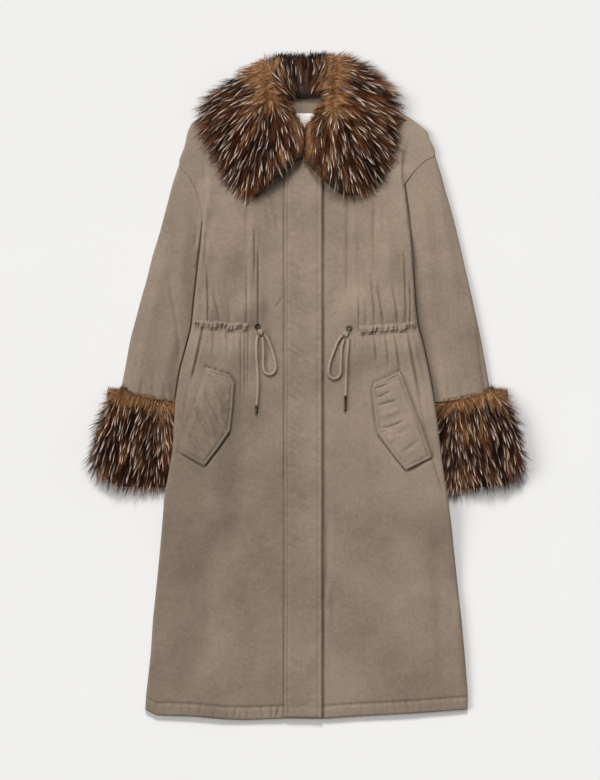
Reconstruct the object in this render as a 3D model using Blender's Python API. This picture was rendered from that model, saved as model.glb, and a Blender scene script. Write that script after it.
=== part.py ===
"""A long padded parka with a fur collar and fur cuffs, laid out flat with its front up.

Metres. +Z is up, +Y runs from the hem to the collar, and the wearer's right side lies at -X.
Places across the coat are given as pixels of its front view, x to the right and y down.
PIXEL is the real size of one pixel, worked out from the coat's length.
"""

import math
from collections import namedtuple

import bmesh
import bpy
import numpy as np
from mathutils import Vector
from mathutils.bvhtree import BVHTree

# Driving dimensions
COAT_LENGTH = 1.2046        # collar crest to hem
VIEW_LENGTH = 669.2         # the same length in pixels of the front view
PIXEL = COAT_LENGTH / VIEW_LENGTH
VIEW_MIDDLE = (307.0, 386.0)

# Cloth layers
WALL = 0.006                # padded cloth: shell, wadding and lining
LAYER_GAP = 0.0008          # between the back and the fronts that lie on it
SEAT_GAP = 0.0008           # between a panel and what lies on it
EDGE_ROUND = 0.010          # width of the rounded rim of a panel
EDGE_SHARE = 0.3            # share of the wall left at the very rim
RIM_STEPS = (0.0, 0.004, 0.011)
SHARP_ANGLE = math.radians(50)
PANEL_COLUMNS = 10
BACK_RIM_RISE = 0.0025
FRONT_BASE = WALL + LAYER_GAP
FRONT_TOP = FRONT_BASE + WALL

# Sleeve and cuff sections; the steps are shares of the rim, from the edge inwards
SECTION_STEPS = (0.0, 0.12, 0.4, 1.0)
SECTION_RIM = len(SECTION_STEPS) - 1
SLEEVE_HEIGHT = 0.012
SLEEVE_PUFF = 0.007
SLEEVE_SLIT = 0.0006        # half the space left inside the flattened tube
SLEEVE_RIM = 0.007
SLEEVE_EASE = 0.030          # width over which the puff rises
CUFF_PEAK = 0.043
CUFF_PRESSED = 0.0178       # height of the fur that the body presses down
CUFF_SHELF = 0.022          # fur beside the body that stays pressed, and the slope after it
CUFF_SLOPE = 0.040
CUFF_SLIT = 0.0012
CUFF_CORE = 0.008           # height of the hand opening above the floor
CUFF_RIM = 0.018

# Collar, strips and flaps
COLLAR_LOFT = 0.040
COLLAR_SEAT = FRONT_TOP + SEAT_GAP
NECK_SEAT = 0.0088
COLLAR_FLOOR = 0.0012       # height of the fur tips that hang past the shoulder
HANG_LEAST = 0.01           # shortest share of a section that hangs
PLACKET_WALL = 0.0035
FLAP_WALL = 0.0035
FLAP_SEAT = 0.0015          # a flap stands off the folds under it
CASING_WALL = 0.0016
GATHER_HEIGHT = 0.0026
FACING_WALL = 0.0014
LABEL_WALL = 0.0005

# Cords and hardware
CORD_DIAMETER = 0.005
CORD_STEP = 2.4 * CORD_DIAMETER
CORD_LIFT = 0.0007
EYELET_RADIUS = 0.0040
EYELET_WIRE = 0.0011
KNOT_HALF = (0.0055, 0.0045, 0.0040)
AGLET_RADIUS = 0.0027
AGLET_TIP = 0.0021
RING_SEGMENTS = (16, 6)
KNOT_SEGMENTS = (10, 6)
AGLET_SEGMENTS = 12
CORD_RESOLUTION = 2
ROUTE_STEPS = 20            # places read from the curve between two points of a route
PROBE_HEIGHT = 1.0          # well above the coat, where surfaces are looked for from

CENTRE_FRONT = 289.75       # where the two fronts meet under the placket
CENTRE_GAP = 0.4

BodyRow = namedtuple("BodyRow", "y left right")
BODY = (
    BodyRow(185, 204.0, 405.0),
    BodyRow(209, 203.0, 408.0),
    BodyRow(223, 202.0, 409.5),
    BodyRow(247, 200.5, 411.3),
    BodyRow(272, 197.6, 413.0),
    BodyRow(302, 194.2, 415.0),
    BodyRow(326, 192.0, 417.5),
    BodyRow(340, 188.6, 421.8),
    BodyRow(369, 180.6, 428.0),
    BodyRow(397, 176.0, 433.3),
    BodyRow(423, 174.2, 437.3),
    BodyRow(449, 173.0, 440.2),
    BodyRow(478, 168.0, 444.2),
    BodyRow(498, 164.5, 447.5),
    BodyRow(520, 162.8, 450.6),
    BodyRow(560, 159.0, 455.0),
    BodyRow(620, 152.7, 461.8),
    BodyRow(656, 150.3, 465.0),
    BodyRow(695, 146.0, 468.0),
    BodyRow(711, 144.8, 467.5),
)

# The hem hangs lower towards the middle than at its corners
HEM_Y = 711.0
HEM_FADE_Y = 600.0
HEM_STITCH = 12.5
HEM_GROOVE = 0.0013
HEM_GROOVE_WIDTH = 3.0
BACK_HEM_RISE = 1.2
HemPoint = namedtuple("HemPoint", "x drop")
HEM = (
    HemPoint(144.8, -1.0),
    HemPoint(156, 5.0),
    HemPoint(193, 6.0),
    HemPoint(223, 9.0),
    HemPoint(247, 9.6),
    HemPoint(285, 8.0),
    HemPoint(321, 8.5),
    HemPoint(356, 6.0),
    HemPoint(414, 3.0),
    HemPoint(467.5, -1.0),
)

# Rows of points up the body, from hem to underarm
HEM_ROWS = (0.0, 2.2, 6.0, 9.5, 12.5, 15.5)
SKIRT_ROWS = np.linspace(686, 364, 14)
WAIST_ROWS = (350, 341, 334, 326, 318, 310, 300)
CHEST_ROWS = (282, 262, 243, 223)
LEFT_CHEST_ROWS = (204, 185)    # on the left the body's edge runs higher

# Height that sleeves and cuffs beneath add to the body, and how far they reach under it
LIFT_CLEAR = 2.0
LIFT_BLEND = 36.0
LiftRow = namedtuple("LiftRow", "y height left_under right_under")
LIFT = (
    LiftRow(223, 0.0, 12, 12),
    LiftRow(254, 0.0131, 16, 16),
    LiftRow(270, 0.0131, 22, 22),
    LiftRow(285, 0.0131, 30, 30),
    LiftRow(303, 0.0131, 43, 44),
    LiftRow(325, 0.0131, 45, 44),
    LiftRow(343, 0.0131, 43, 40),
    LiftRow(368, 0.0140, 39, 34),
    LiftRow(396, 0.0186, 36, 31),
    LiftRow(425, 0.0186, 36, 31),
    LiftRow(448, 0.0186, 37, 34),
    LiftRow(468, 0.0186, 40, 37),
    LiftRow(512, 0.0186, 42, 37),
    LiftRow(545, 0.0080, 38, 34),
    LiftRow(585, 0.0, 30, 28),
)

# Largest folds of the fronts: ridges, or troughs where the height is below zero. They fade in
# over a part of their length from half their height at each end
FOLD_FADE = 4.0
FOLD_END = 0.5
Fold = namedtuple("Fold", "x0 y0 x1 y1 width height")
FOLDS = (
    Fold(194, 327, 258, 329, 7, -0.0016),
    Fold(348, 331, 416, 328, 7, -0.0016),
    Fold(198, 306, 262, 310, 14, 0.0036),
    Fold(344, 310, 412, 307, 14, 0.0036),
    Fold(190, 349, 262, 353, 15, 0.0034),
    Fold(344, 353, 420, 349, 15, 0.0034),
    Fold(207, 182, 204, 234, 8, 0.0026),
    Fold(406, 168, 408, 224, 8, 0.0026),
    Fold(252, 226, 250, 318, 12, 0.0028),
    Fold(358, 226, 354, 318, 12, 0.0028),
    Fold(228, 250, 212, 318, 11, 0.0024),
    Fold(384, 250, 398, 318, 11, 0.0024),
    Fold(204, 342, 190, 420, 10, 0.0020),
    Fold(410, 342, 424, 430, 10, 0.0020),
    Fold(250, 380, 248, 470, 13, 0.0020),
    Fold(180, 500, 172, 690, 17, 0.0022),
    Fold(432, 500, 440, 690, 17, 0.0022),
    Fold(240, 490, 236, 690, 20, 0.0018),
    Fold(372, 490, 380, 690, 20, 0.0018),
)

# Armhole seams, from underarm to shoulder tip, bowed towards the neck
Armhole = namedtuple("Armhole", "x0 y0 x1 y1 bow")
ARMHOLES = {
    "right": Armhole(202.0, 223.0, 179.0, 164.0, 6.0),
    "left": Armhole(405.0, 185.0, 435.0, 154.0, 2.8),
}
ARMHOLE_STEPS = (0.25, 0.5, 0.75, 1.0)
ARMHOLE_LEFT_STEPS = (0.5, 1.0)

# Upper ends of the fronts: shoulder edge against neck edge
YokeRow = namedtuple("YokeRow", "outer_x outer_y inner_x inner_y")
YOKES = {
    "right": (
        YokeRow(184, 147, CENTRE_FRONT, 172),
        YokeRow(193, 122, 289, 157),
        YokeRow(225, 107, 281, 138),
        YokeRow(255, 96, 267, 115),
    ),
    "left": (
        YokeRow(430, 139, CENTRE_FRONT + CENTRE_GAP, 166),
        YokeRow(424, 128, 296, 155),
        YokeRow(392, 107, 331, 138),
        YokeRow(357, 96, 345, 115),
    ),
}
ARMHOLE_INNER_Y = {"right": (223, 186), "left": (184, 177)}

# Rows of the back beside the armholes: step along the right seam against a height of the left
# edge, then against a step along the left seam
BACK_EDGE_ROWS = ((0.3, 207.0), (0.6, 185.0))
BACK_SEAM_ROWS = ((0.8, 0.5), (1.0, 1.0))
BackRow = namedtuple("BackRow", "left_x left_y right_x right_y")
BACK_YOKE = (
    BackRow(184, 147, 430, 139),
    BackRow(193, 122, 424, 128),
    BackRow(225, 107, 392, 107),
    BackRow(262, 94, 350, 94),
)

# Sleeve sections, from the armhole to the cuff; the inner ends lie beside or under the body
SleeveRow = namedtuple("SleeveRow", "outer_x outer_y inner_x inner_y bow")
SLEEVES = {
    "right": (
        SleeveRow(178.4, 164.6, 201.3, 223.3, 6.0),
        SleeveRow(172.5, 183, 201.0, 233, 4.5),
        SleeveRow(166.5, 206, 200.2, 244, 2.5),
        SleeveRow(159.0, 234, 199.0, 256, 1.0),
        SleeveRow(152.5, 255, 197.9, 264, 0.0),
        SleeveRow(146.5, 279, 214, 285, 0.0),
        SleeveRow(140.5, 300, 231, 305, 0.0),
        SleeveRow(135.0, 321, 232, 325, 0.0),
        SleeveRow(130.0, 340, 226, 343, 0.0),
        SleeveRow(125.4, 365, 215, 368, 0.0),
        SleeveRow(121.6, 384, 208.5, 391, -2.0),
        SleeveRow(120.4, 390.2, 206, 402.2, -3.7),
    ),
    "left": (
        SleeveRow(435.6, 154.6, 405.7, 185.3, 2.8),
        SleeveRow(440.5, 171, 407.9, 203, 2.0),
        SleeveRow(446.0, 191, 409.9, 220, 1.0),
        SleeveRow(453.5, 217, 411.5, 240, 0.0),
        SleeveRow(460.0, 244, 412.9, 258, 0.0),
        SleeveRow(466.5, 272, 396, 281, 0.0),
        SleeveRow(472.5, 298, 377, 304, 0.0),
        SleeveRow(477.5, 321, 378, 325, 0.0),
        SleeveRow(481.5, 340, 386.5, 343, 0.0),
        SleeveRow(486.0, 365, 398.5, 368, 0.0),
        SleeveRow(489.6, 385, 406.0, 391, -2.0),
        SleeveRow(491.2, 391.2, 408.8, 402.4, -3.6),
    ),
}
SLEEVE_COLUMNS = 6

# Cuff sections, from the sleeve's end to the hand opening
CuffRow = namedtuple("CuffRow", "outer_x outer_y inner_x inner_y bow loft")
CUFFS = {
    "right": (
        CuffRow(111, 389.0, 204.5, 403.5, -4.5, 0.25),
        CuffRow(102, 401, 205, 413, -2.5, 0.75),
        CuffRow(94.5, 424, 205, 432, 0.0, 1.00),
        CuffRow(90, 444, 205, 450, 0.0, 1.00),
        CuffRow(86, 465, 204, 468, 0.0, 1.00),
        CuffRow(92, 477, 203, 482, 0.0, 0.75),
        CuffRow(108, 492, 201.5, 494, 0.0, 0.25),
    ),
    "left": (
        CuffRow(503.5, 389.5, 410.5, 404, -4.5, 0.25),
        CuffRow(514, 403, 411, 415, -2.5, 0.75),
        CuffRow(521, 424, 411, 432, 0.0, 1.00),
        CuffRow(526, 444, 411.5, 450, 0.0, 1.00),
        CuffRow(528, 470, 413, 471, 0.0, 1.00),
        CuffRow(522, 482, 415, 488, 0.0, 0.75),
        CuffRow(508, 490, 418, 503, 0.0, 0.25),
    ),
}
CUFF_COLUMNS = 7

# Collar sections, from centre back round to the front edge: neck edge, outer edge, the share of
# the section that rests on the coat before it hangs past the shoulder, whether it has climbed
# from the neck facing onto the fronts, and its share of the fur's full height
CollarRow = namedtuple("CollarRow", "neck_x neck_y outer_x outer_y rest climb loft")
COLLARS = {
    "right": (
        CollarRow(305.1, 99, 305.1, 57, 0.2, 0, 0.75),
        CollarRow(294, 98, 284, 56, 0.2, 0, 0.80),
        CollarRow(290, 106, 262, 57, 0.3, 1, 0.88),
        CollarRow(290, 112, 232, 76, 0.5, 1, 0.94),
        CollarRow(294, 118, 205, 94, 0.75, 1, 1.00),
        CollarRow(299, 123, 195, 112, 1.0, 1, 1.00),
        CollarRow(303.4, 127, 198, 136, 1.0, 1, 1.00),
        CollarRow(304.1, 134, 212, 163, 1.0, 1, 1.00),
        CollarRow(304.1, 140, 222, 183, 1.0, 1, 1.00),
        CollarRow(304.1, 146, 248, 203, 1.0, 1, 1.00),
        CollarRow(304.1, 152, 264, 189, 1.0, 1, 0.95),
        CollarRow(303.2, 156, 280, 175, 1.0, 1, 0.75),
        CollarRow(302, 159, 292, 166, 1.0, 1, 0.40),
    ),
    "left": (
        CollarRow(305.4, 99, 305.4, 57, 0.2, 0, 0.75),
        CollarRow(318, 98, 325, 54, 0.2, 0, 0.80),
        CollarRow(321, 106, 345, 51.4, 0.3, 1, 0.88),
        CollarRow(320, 113, 372, 66, 0.5, 1, 0.94),
        CollarRow(315, 119, 392, 82, 0.75, 1, 1.00),
        CollarRow(310, 123, 403, 98, 1.0, 1, 1.00),
        CollarRow(305.0, 127, 404, 118, 1.0, 1, 1.00),
        CollarRow(304.4, 134, 399, 152, 1.0, 1, 1.00),
        CollarRow(304.4, 141, 386, 179, 1.0, 1, 1.00),
        CollarRow(304.4, 148, 369, 198, 1.0, 1, 1.00),
        CollarRow(304.4, 154, 346, 199, 1.0, 1, 0.95),
        CollarRow(305.2, 159, 325, 183, 1.0, 1, 0.75),
        CollarRow(306, 163, 314, 171, 1.0, 1, 0.40),
    ),
}
ProfilePoint = namedtuple("ProfilePoint", "along loft")
COLLAR_PROFILE = (
    ProfilePoint(0.0, 0.12),
    ProfilePoint(0.06, 0.55),
    ProfilePoint(0.14, 0.82),
    ProfilePoint(0.22, 0.92),
    ProfilePoint(0.34, 1.0),
    ProfilePoint(0.50, 1.0),
    ProfilePoint(0.66, 0.90),
    ProfilePoint(0.82, 0.68),
    ProfilePoint(0.93, 0.38),
    ProfilePoint(1.0, 0.10),
)
PLACKET_SHADOW = (262.0, 283.0, 325.0, 346.0)   # where the collar climbs onto the placket

# Placket: a strip with rounded long edges
PLACKET_COLUMNS = (285.0, 288.0, 303.5, 319.5, 322.5)
PLACKET_ROUND = (0.4, 1.0, 1.0, 1.0, 0.4)
PLACKET_TOP_ROWS = (204, 186, 170, 158)
PLACKET_HEM_RISE = 2.0

# Back neck facing and the blank label on it
FacingRow = namedtuple("FacingRow", "y left right")
FACING = (
    FacingRow(138, 284, 328),
    FacingRow(112, 270, 341),
    FacingRow(97, 268, 343),
)
FACING_COLUMNS = 5
LABEL = (295.0, 113.0, 315.0, 127.0)

# Drawstring casings: left end, right end, half their height, number of gathers
Casing = namedtuple("Casing", "x0 y0 x1 y1 half gathers")
CASINGS = {
    "right": Casing(194.5, 324.5, 248.0, 328.0, 5.0, 9),
    "left": Casing(359.0, 331.0, 415.0, 326.5, 5.0, 10),
}
POINTS_PER_GATHER = 4
GATHER_RIM = (0.4, 1.0, 0.4)

# Pocket flaps, from top to bottom: sewn edge against free edge
FlapRow = namedtuple("FlapRow", "sewn_x sewn_y free_x free_y")
FLAPS = {
    "right": (
        FlapRow(206, 367, 230, 374.8),
        FlapRow(203, 376, 235, 383),
        FlapRow(194.5, 402, 233.2, 408),
        FlapRow(186, 427, 230.5, 431),
        FlapRow(181.5, 440.5, 218, 449),
        FlapRow(178, 451, 205, 466),
    ),
    "left": (
        FlapRow(400, 371, 374, 383.4),
        FlapRow(403.5, 380, 372, 391),
        FlapRow(413, 405, 374.2, 413),
        FlapRow(422, 428, 377, 433),
        FlapRow(427, 443, 391, 452),
        FlapRow(432, 457.5, 405.5, 470),
    ),
}
FLAP_COLUMNS = (0.0, 0.08, 0.25, 0.45, 0.65, 0.82, 0.94, 1.0)
FLAP_ROUND = (0.5, 1.0, 1.0, 1.0, 1.0, 1.0, 0.9, 0.4)
FLAP_END_ROUND = 0.6

# Drawcords: eyelet, knot, the loop's route, the free end's route and the aglet's tip
Cord = namedtuple("Cord", "eyelet knot loop end tip")
CORDS = {
    "right": Cord(
        (257.4, 326.4),
        (260.8, 331.8),
        ((264.6, 334.0), (268.4, 341), (272.2, 351), (274.9, 361), (275.6, 368.4), (273.8, 372.6),
         (269.6, 374.4), (265.4, 372.6), (263.6, 368.4), (263.3, 360), (263.5, 350), (262.4, 337.2)),
        ((257.6, 335.6), (256.4, 345), (256.6, 357), (257.6, 372), (258.0, 386), (257.3, 398),
         (256.6, 405.4)),
        (256.2, 413.4),
    ),
    "left": Cord(
        (349.0, 328.4),
        (346.0, 334.0),
        ((341.9, 335.6), (337.6, 342), (333.6, 352), (329.9, 362.6), (328.5, 372.6), (330.3, 376.8),
         (334.5, 378.6), (338.7, 376.8), (340.5, 372.6), (341.0, 364), (341.2, 355), (341.9, 347),
         (343.8, 339.8)),
        ((348.2, 339.0), (348.0, 346), (347.0, 358), (346.4, 372), (346.0, 385), (345.5, 395.4)),
        (345.0, 411.0),
    ),
}

# Colours and roughness of the pieces
CLOTH_COLOUR = (0.28, 0.22, 0.16, 1.0)
FUR_COLOUR = (0.13, 0.07, 0.04, 1.0)
LABEL_COLOUR = (0.80, 0.79, 0.76, 1.0)
METAL_COLOUR = (0.12, 0.10, 0.08, 1.0)
CLOTH_ROUGHNESS = 0.9
FUR_ROUGHNESS = 1.0
LABEL_ROUGHNESS = 0.8
METAL_ROUGHNESS = 0.35


def column(table, name):
    """One named column of a table, as an array."""
    return np.array([getattr(row, name) for row in table], dtype=float)


def smooth(value):
    """Ease from 0 to 1."""
    value = np.clip(value, 0.0, 1.0)
    return value * value * (3.0 - 2.0 * value)


def rounded(distance, width):
    """Quarter-circle rise from 0 at a rim to 1 at the given width."""
    share = np.clip(distance / width, 0.0, 1.0)
    return np.sqrt(1.0 - (1.0 - share) ** 2)


def metres(x, y, z):
    """Points of the front view with their heights, as an array of metres."""
    return np.stack([(x - VIEW_MIDDLE[0]) * PIXEL, (VIEW_MIDDLE[1] - y) * PIXEL, z + 0.0 * x], axis=-1)


def between_rows(table):
    """A table's rows with one more row, on a smooth curve, between each two."""
    rows = np.array(table, dtype=float)
    padded = np.concatenate([2 * rows[:1] - rows[1:2], rows, 2 * rows[-1:] - rows[-2:-1]])
    halfway = (9.0 * (rows[:-1] + rows[1:]) - padded[:-3] - padded[3:]) / 16.0
    doubled = np.empty((2 * len(rows) - 1, rows.shape[1]))
    doubled[0::2] = rows
    doubled[1::2] = halfway
    return [type(table[0])(*values) for values in doubled]


def edge(y, side):
    """The body's side edge at a height of the front view."""
    return np.interp(y, column(BODY, "y"), column(BODY, side))


def hem_drop(x, y):
    """How far a row of the skirt sinks towards the hem's own line."""
    drop = np.interp(x, column(HEM, "x"), column(HEM, "drop"))
    return drop * smooth((y - HEM_FADE_Y) / (HEM_Y - HEM_FADE_Y))


def lift(x, y):
    """Height that the sleeves and cuffs beneath add to the body."""
    rows_y = column(LIFT, "y")
    height = np.interp(y, rows_y, column(LIFT, "height"))
    from_left = x - edge(y, "left") - np.interp(y, rows_y, column(LIFT, "left_under"))
    from_right = edge(y, "right") - x - np.interp(y, rows_y, column(LIFT, "right_under"))
    inward = np.minimum(from_left, from_right) - LIFT_CLEAR
    return height * (1.0 - smooth(inward / LIFT_BLEND))


def relief(x, y):
    """Soft ridges and troughs of the fronts."""
    total = np.zeros(np.shape(x))
    for fold in FOLDS:
        run = np.array([fold.x1 - fold.x0, fold.y1 - fold.y0])
        length = np.linalg.norm(run)
        run = run / length
        along = ((x - fold.x0) * run[0] + (y - fold.y0) * run[1]) / length
        across = (x - fold.x0) * run[1] - (y - fold.y0) * run[0]
        swell = smooth(np.minimum(along, 1.0 - along) * FOLD_FADE + FOLD_END)
        total += fold.height * swell * np.exp(-(across / fold.width) ** 2)
    return total


def hem_groove(x, y):
    """The shallow trough along the hem's stitching."""
    line = HEM_Y + hem_drop(x, HEM_Y) - HEM_STITCH
    return -HEM_GROOVE * np.exp(-((y - line) / HEM_GROOVE_WIDTH) ** 2)


def front_outside(x, y):
    """Height of the fronts' outer faces, met from above; past their rims, that of their flat top."""
    places = metres(np.asarray(x, dtype=float), np.asarray(y, dtype=float), PROBE_HEIGHT)
    heights = []
    for place in places.reshape(-1, 3):
        hit = fronts.ray_cast(place, (0.0, 0.0, -1.0))[0]
        heights.append(FRONT_TOP if hit is None else hit.z)
    return np.array(heights).reshape(places.shape[:-1])


def fronts_surface():
    """Both fronts as one tree of faces, on which other pieces are seated."""
    bm = bmesh.new()
    for side in ("right", "left"):
        bm.from_mesh(coat.objects["front_" + side].data)
    tree = BVHTree.FromBMesh(bm)
    bm.free()
    return tree


def armhole(side, along):
    """A point of the armhole seam, from the underarm to the shoulder tip."""
    seam = ARMHOLES[side]
    run = np.array([seam.x1 - seam.x0, seam.y1 - seam.y0])
    normal = np.array([-run[1], run[0]]) / np.linalg.norm(run)
    if (normal[0] > 0) != (side == "right"):
        normal = -normal
    bow = seam.bow * math.sin(math.pi * along)
    return np.array([seam.x0, seam.y0]) + run * along + normal * bow


def material(name, colour, roughness, metallic=0.0):
    """A plain surface of one colour."""
    surface = bpy.data.materials.new(name)
    surface.use_nodes = True
    shader = surface.node_tree.nodes["Principled BSDF"]
    shader.inputs["Base Color"].default_value = colour
    shader.inputs["Roughness"].default_value = roughness
    shader.inputs["Metallic"].default_value = metallic
    return surface


def add_object(name, data, colour, roughness, metallic=0.0):
    """Put a mesh or curve into the coat under its empty, with a material of its own."""
    data.materials.append(material(name + "_surface", colour, roughness, metallic))
    piece = bpy.data.objects.new(name, data)
    coat.objects.link(piece)
    piece.parent = stand
    return piece


def mesh_from(bm, name):
    """Finish a mesh: faces out, round faces smooth."""
    bmesh.ops.recalc_face_normals(bm, faces=bm.faces[:])
    bmesh.ops.triangulate(bm, faces=bm.faces[:])
    mesh = bpy.data.meshes.new(name)
    bm.to_mesh(mesh)
    bm.free()
    mesh.shade_smooth()
    mesh.set_sharp_from_angle(angle=SHARP_ANGLE)
    return mesh


def border(rows, columns):
    """Indices round the rim of a grid of points."""
    first = list(range(columns))
    right = [row * columns + columns - 1 for row in range(1, rows)]
    last = [(rows - 1) * columns + place for place in range(columns - 2, -1, -1)]
    left = [row * columns for row in range(rows - 2, 0, -1)]
    return first + right + last + left


def wall(name, outer, inner):
    """Close two matching grids of points into one wall of cloth."""
    rows, columns = outer.shape[:2]
    bm = bmesh.new()
    for _ in range(2):
        bmesh.ops.create_grid(bm, x_segments=columns - 1, y_segments=rows - 1, size=0.5)
    bm.verts.ensure_lookup_table()
    for vert, place in zip(bm.verts, np.concatenate([outer.reshape(-1, 3), inner.reshape(-1, 3)])):
        vert.co = place
    rim = border(rows, columns)
    below = rows * columns
    for here, there in zip(rim, rim[1:] + rim[:1]):
        bm.faces.new([bm.verts[index] for index in (here, there, there + below, here + below)])
    return mesh_from(bm, name)


def loft(name, outer, inner=None):
    """Join closed rings into a solid with end caps, or into a tube around inner rings."""
    bm = bmesh.new()
    skins = []
    for rings in (outer, inner):
        if rings is not None:
            skins.append([[bm.verts.new(place) for place in ring] for ring in rings])
    for skin in skins:
        for ring, following in zip(skin, skin[1:]):
            join_rings(bm, ring, following)
    if inner is None:
        bm.faces.new(skins[0][0])
        bm.faces.new(skins[0][-1])
    else:
        join_rings(bm, skins[0][0], skins[1][0])
        join_rings(bm, skins[0][-1], skins[1][-1])
    return mesh_from(bm, name)


def join_rings(bm, ring, other):
    """Faces between two rings of as many points."""
    count = len(ring)
    for place in range(count):
        after = (place + 1) % count
        bm.faces.new((ring[place], ring[after], other[after], other[place]))


def span(outer, inner, count):
    """Points from a rim inwards: close together at the rim, then evenly spaced."""
    length = np.linalg.norm(np.subtract(inner, outer)) * PIXEL
    even = np.linspace(RIM_STEPS[-1], length, count - len(RIM_STEPS) + 1)[1:]
    along = np.concatenate([RIM_STEPS, even]) / length
    return np.outer(1.0 - along, outer) + np.outer(along, inner)


def body_rows():
    """Heights of the rows of points from the hem to the underarm."""
    hem = [HEM_Y - rise for rise in HEM_ROWS]
    return np.concatenate([hem, SKIRT_ROWS, WAIST_ROWS, CHEST_ROWS])


def skirt_row(y, side, middle):
    """One row of a front below the underarm, from the side edge to the centre front."""
    outer_x = float(edge(y, "left" if side == "right" else "right"))
    return span((outer_x, y), (middle, y), PANEL_COLUMNS)


def front_points(side):
    """View points of one front, row by row from the hem to the shoulder."""
    middle = CENTRE_FRONT if side == "right" else CENTRE_FRONT + CENTRE_GAP
    rows = [skirt_row(y, side, middle) for y in body_rows()]
    steps = ARMHOLE_STEPS
    if side == "left":
        rows += [skirt_row(y, side, middle) for y in LEFT_CHEST_ROWS]
        steps = ARMHOLE_LEFT_STEPS
    low, high = ARMHOLE_INNER_Y[side]
    for step in steps:
        rows.append(span(armhole(side, step), (middle, low + (high - low) * step), PANEL_COLUMNS))
    for yoke in YOKES[side]:
        rows.append(span((yoke.outer_x, yoke.outer_y), (yoke.inner_x, yoke.inner_y), PANEL_COLUMNS))
    points = np.array(rows)
    if side == "left":
        points = points[:, ::-1]
    points[..., 1] += hem_drop(points[..., 0], points[..., 1])
    return points


def rim_distance(points, sides):
    """Distance of each point of a panel from its side edges and its hem, in metres."""
    first = np.linalg.norm(points - points[:, :1], axis=-1)
    last = np.linalg.norm(points - points[:, -1:], axis=-1)
    side = {"left": first, "right": last, "both": np.minimum(first, last)}[sides]
    hem = HEM_Y + hem_drop(points[..., 0], HEM_Y) - points[..., 1]
    return np.minimum(side, hem) * PIXEL


def build_front(side):
    """One front, lying on the back, its rim rounded towards the side seam."""
    points = front_points(side)
    x, y = points[..., 0], points[..., 1]
    rim = rounded(rim_distance(points, "left" if side == "right" else "right"), EDGE_ROUND)
    under = FRONT_BASE + lift(x, y)
    folds = (relief(x, y) + hem_groove(x, y)) * rim
    over = under + WALL * (EDGE_SHARE + (1.0 - EDGE_SHARE) * rim) + folds
    name = "front_" + side
    add_object(name, wall(name, metres(x, y, over), metres(x, y, under)), CLOTH_COLOUR, CLOTH_ROUGHNESS)


def back_points():
    """View points of the back, on the fronts' own columns up to the underarm."""
    rows = []
    for y in body_rows():
        left = skirt_row(y, "right", CENTRE_FRONT)
        right = skirt_row(y, "left", CENTRE_FRONT)
        rows.append(np.concatenate([left, right[::-1][1:]]))
    pairs = []
    for step, y in BACK_EDGE_ROWS:
        pairs.append((armhole("right", step), (float(edge(y, "right")), y)))
    for step, left_step in BACK_SEAM_ROWS:
        pairs.append((armhole("right", step), armhole("left", left_step)))
    for yoke in BACK_YOKE:
        pairs.append(((yoke.left_x, yoke.left_y), (yoke.right_x, yoke.right_y)))
    for left, right in pairs:
        middle = (CENTRE_FRONT, 0.5 * (left[1] + right[1]))
        halves = (span(left, middle, PANEL_COLUMNS), span(right, middle, PANEL_COLUMNS))
        rows.append(np.concatenate([halves[0], halves[1][::-1][1:]]))
    points = np.array(rows)
    points[..., 1] += hem_drop(points[..., 0], points[..., 1])
    points[..., 1] -= BACK_HEM_RISE * smooth((points[..., 1] - HEM_FADE_Y) / (HEM_Y - HEM_FADE_Y))
    return points


def build_back():
    """The back, flat on the surface except where it climbs over the sleeves and cuffs."""
    points = back_points()
    x, y = points[..., 0], points[..., 1]
    rim = rounded(rim_distance(points, "both"), EDGE_ROUND)
    under = lift(x, y) + BACK_RIM_RISE * (1.0 - rim)
    over = lift(x, y) + WALL
    mesh = wall("back_panel", metres(x, y, over), metres(x, y, under))
    add_object("back_panel", mesh, CLOTH_COLOUR, CLOTH_ROUGHNESS)


def build_placket():
    """The closing strip over the centre front."""
    rows_y = np.concatenate([body_rows() - PLACKET_HEM_RISE, PLACKET_TOP_ROWS])
    x, y = np.meshgrid(PLACKET_COLUMNS, rows_y)
    y = y + hem_drop(x, y)
    under = front_outside(x, y) + SEAT_GAP
    over = under + PLACKET_WALL * np.array(PLACKET_ROUND)
    mesh = wall("placket", metres(x, y, over), metres(x, y, under))
    add_object("placket", mesh, CLOTH_COLOUR, CLOTH_ROUGHNESS)


def section_points(row, count, rim):
    """View points across a flattened tube and their distances from its two rims."""
    outer = np.array([row.outer_x, row.outer_y])
    inner = np.array([row.inner_x, row.inner_y])
    length = np.linalg.norm(inner - outer) * PIXEL
    steps = np.array(SECTION_STEPS) * rim
    middle = np.linspace(rim, length - rim, count)[1:-1]
    distance = np.concatenate([steps, middle, length - steps[::-1]])
    along = distance / length
    points = np.outer(1.0 - along, outer) + np.outer(along, inner)
    run = (inner - outer) / np.linalg.norm(inner - outer)
    normal = np.array([run[1], -run[0]])
    if normal[1] > 0:
        normal = -normal
    points = points + np.outer(row.bow * np.sin(math.pi * along), normal)
    return points, distance, length - distance


def tube_rings(points, over, under, core, slit):
    """Outer and inner ring of a flattened tube's section, each as many points."""
    top = metres(points[:, 0], points[:, 1], over)
    bottom = metres(points[:, 0], points[:, 1], under)
    outer = np.concatenate([top, bottom[::-1][1:-1]])
    spread = np.linspace(0.0, 1.0, len(points))[:, None]
    line = points[SECTION_RIM] * (1.0 - spread) + points[-1 - SECTION_RIM] * spread
    open_share = np.sin(math.pi * spread[:, 0])
    slit_top = metres(line[:, 0], line[:, 1], core + slit * open_share)
    slit_bottom = metres(line[:, 0], line[:, 1], core - slit * open_share)
    return outer, np.concatenate([slit_top, slit_bottom[::-1][1:-1]])


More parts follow.
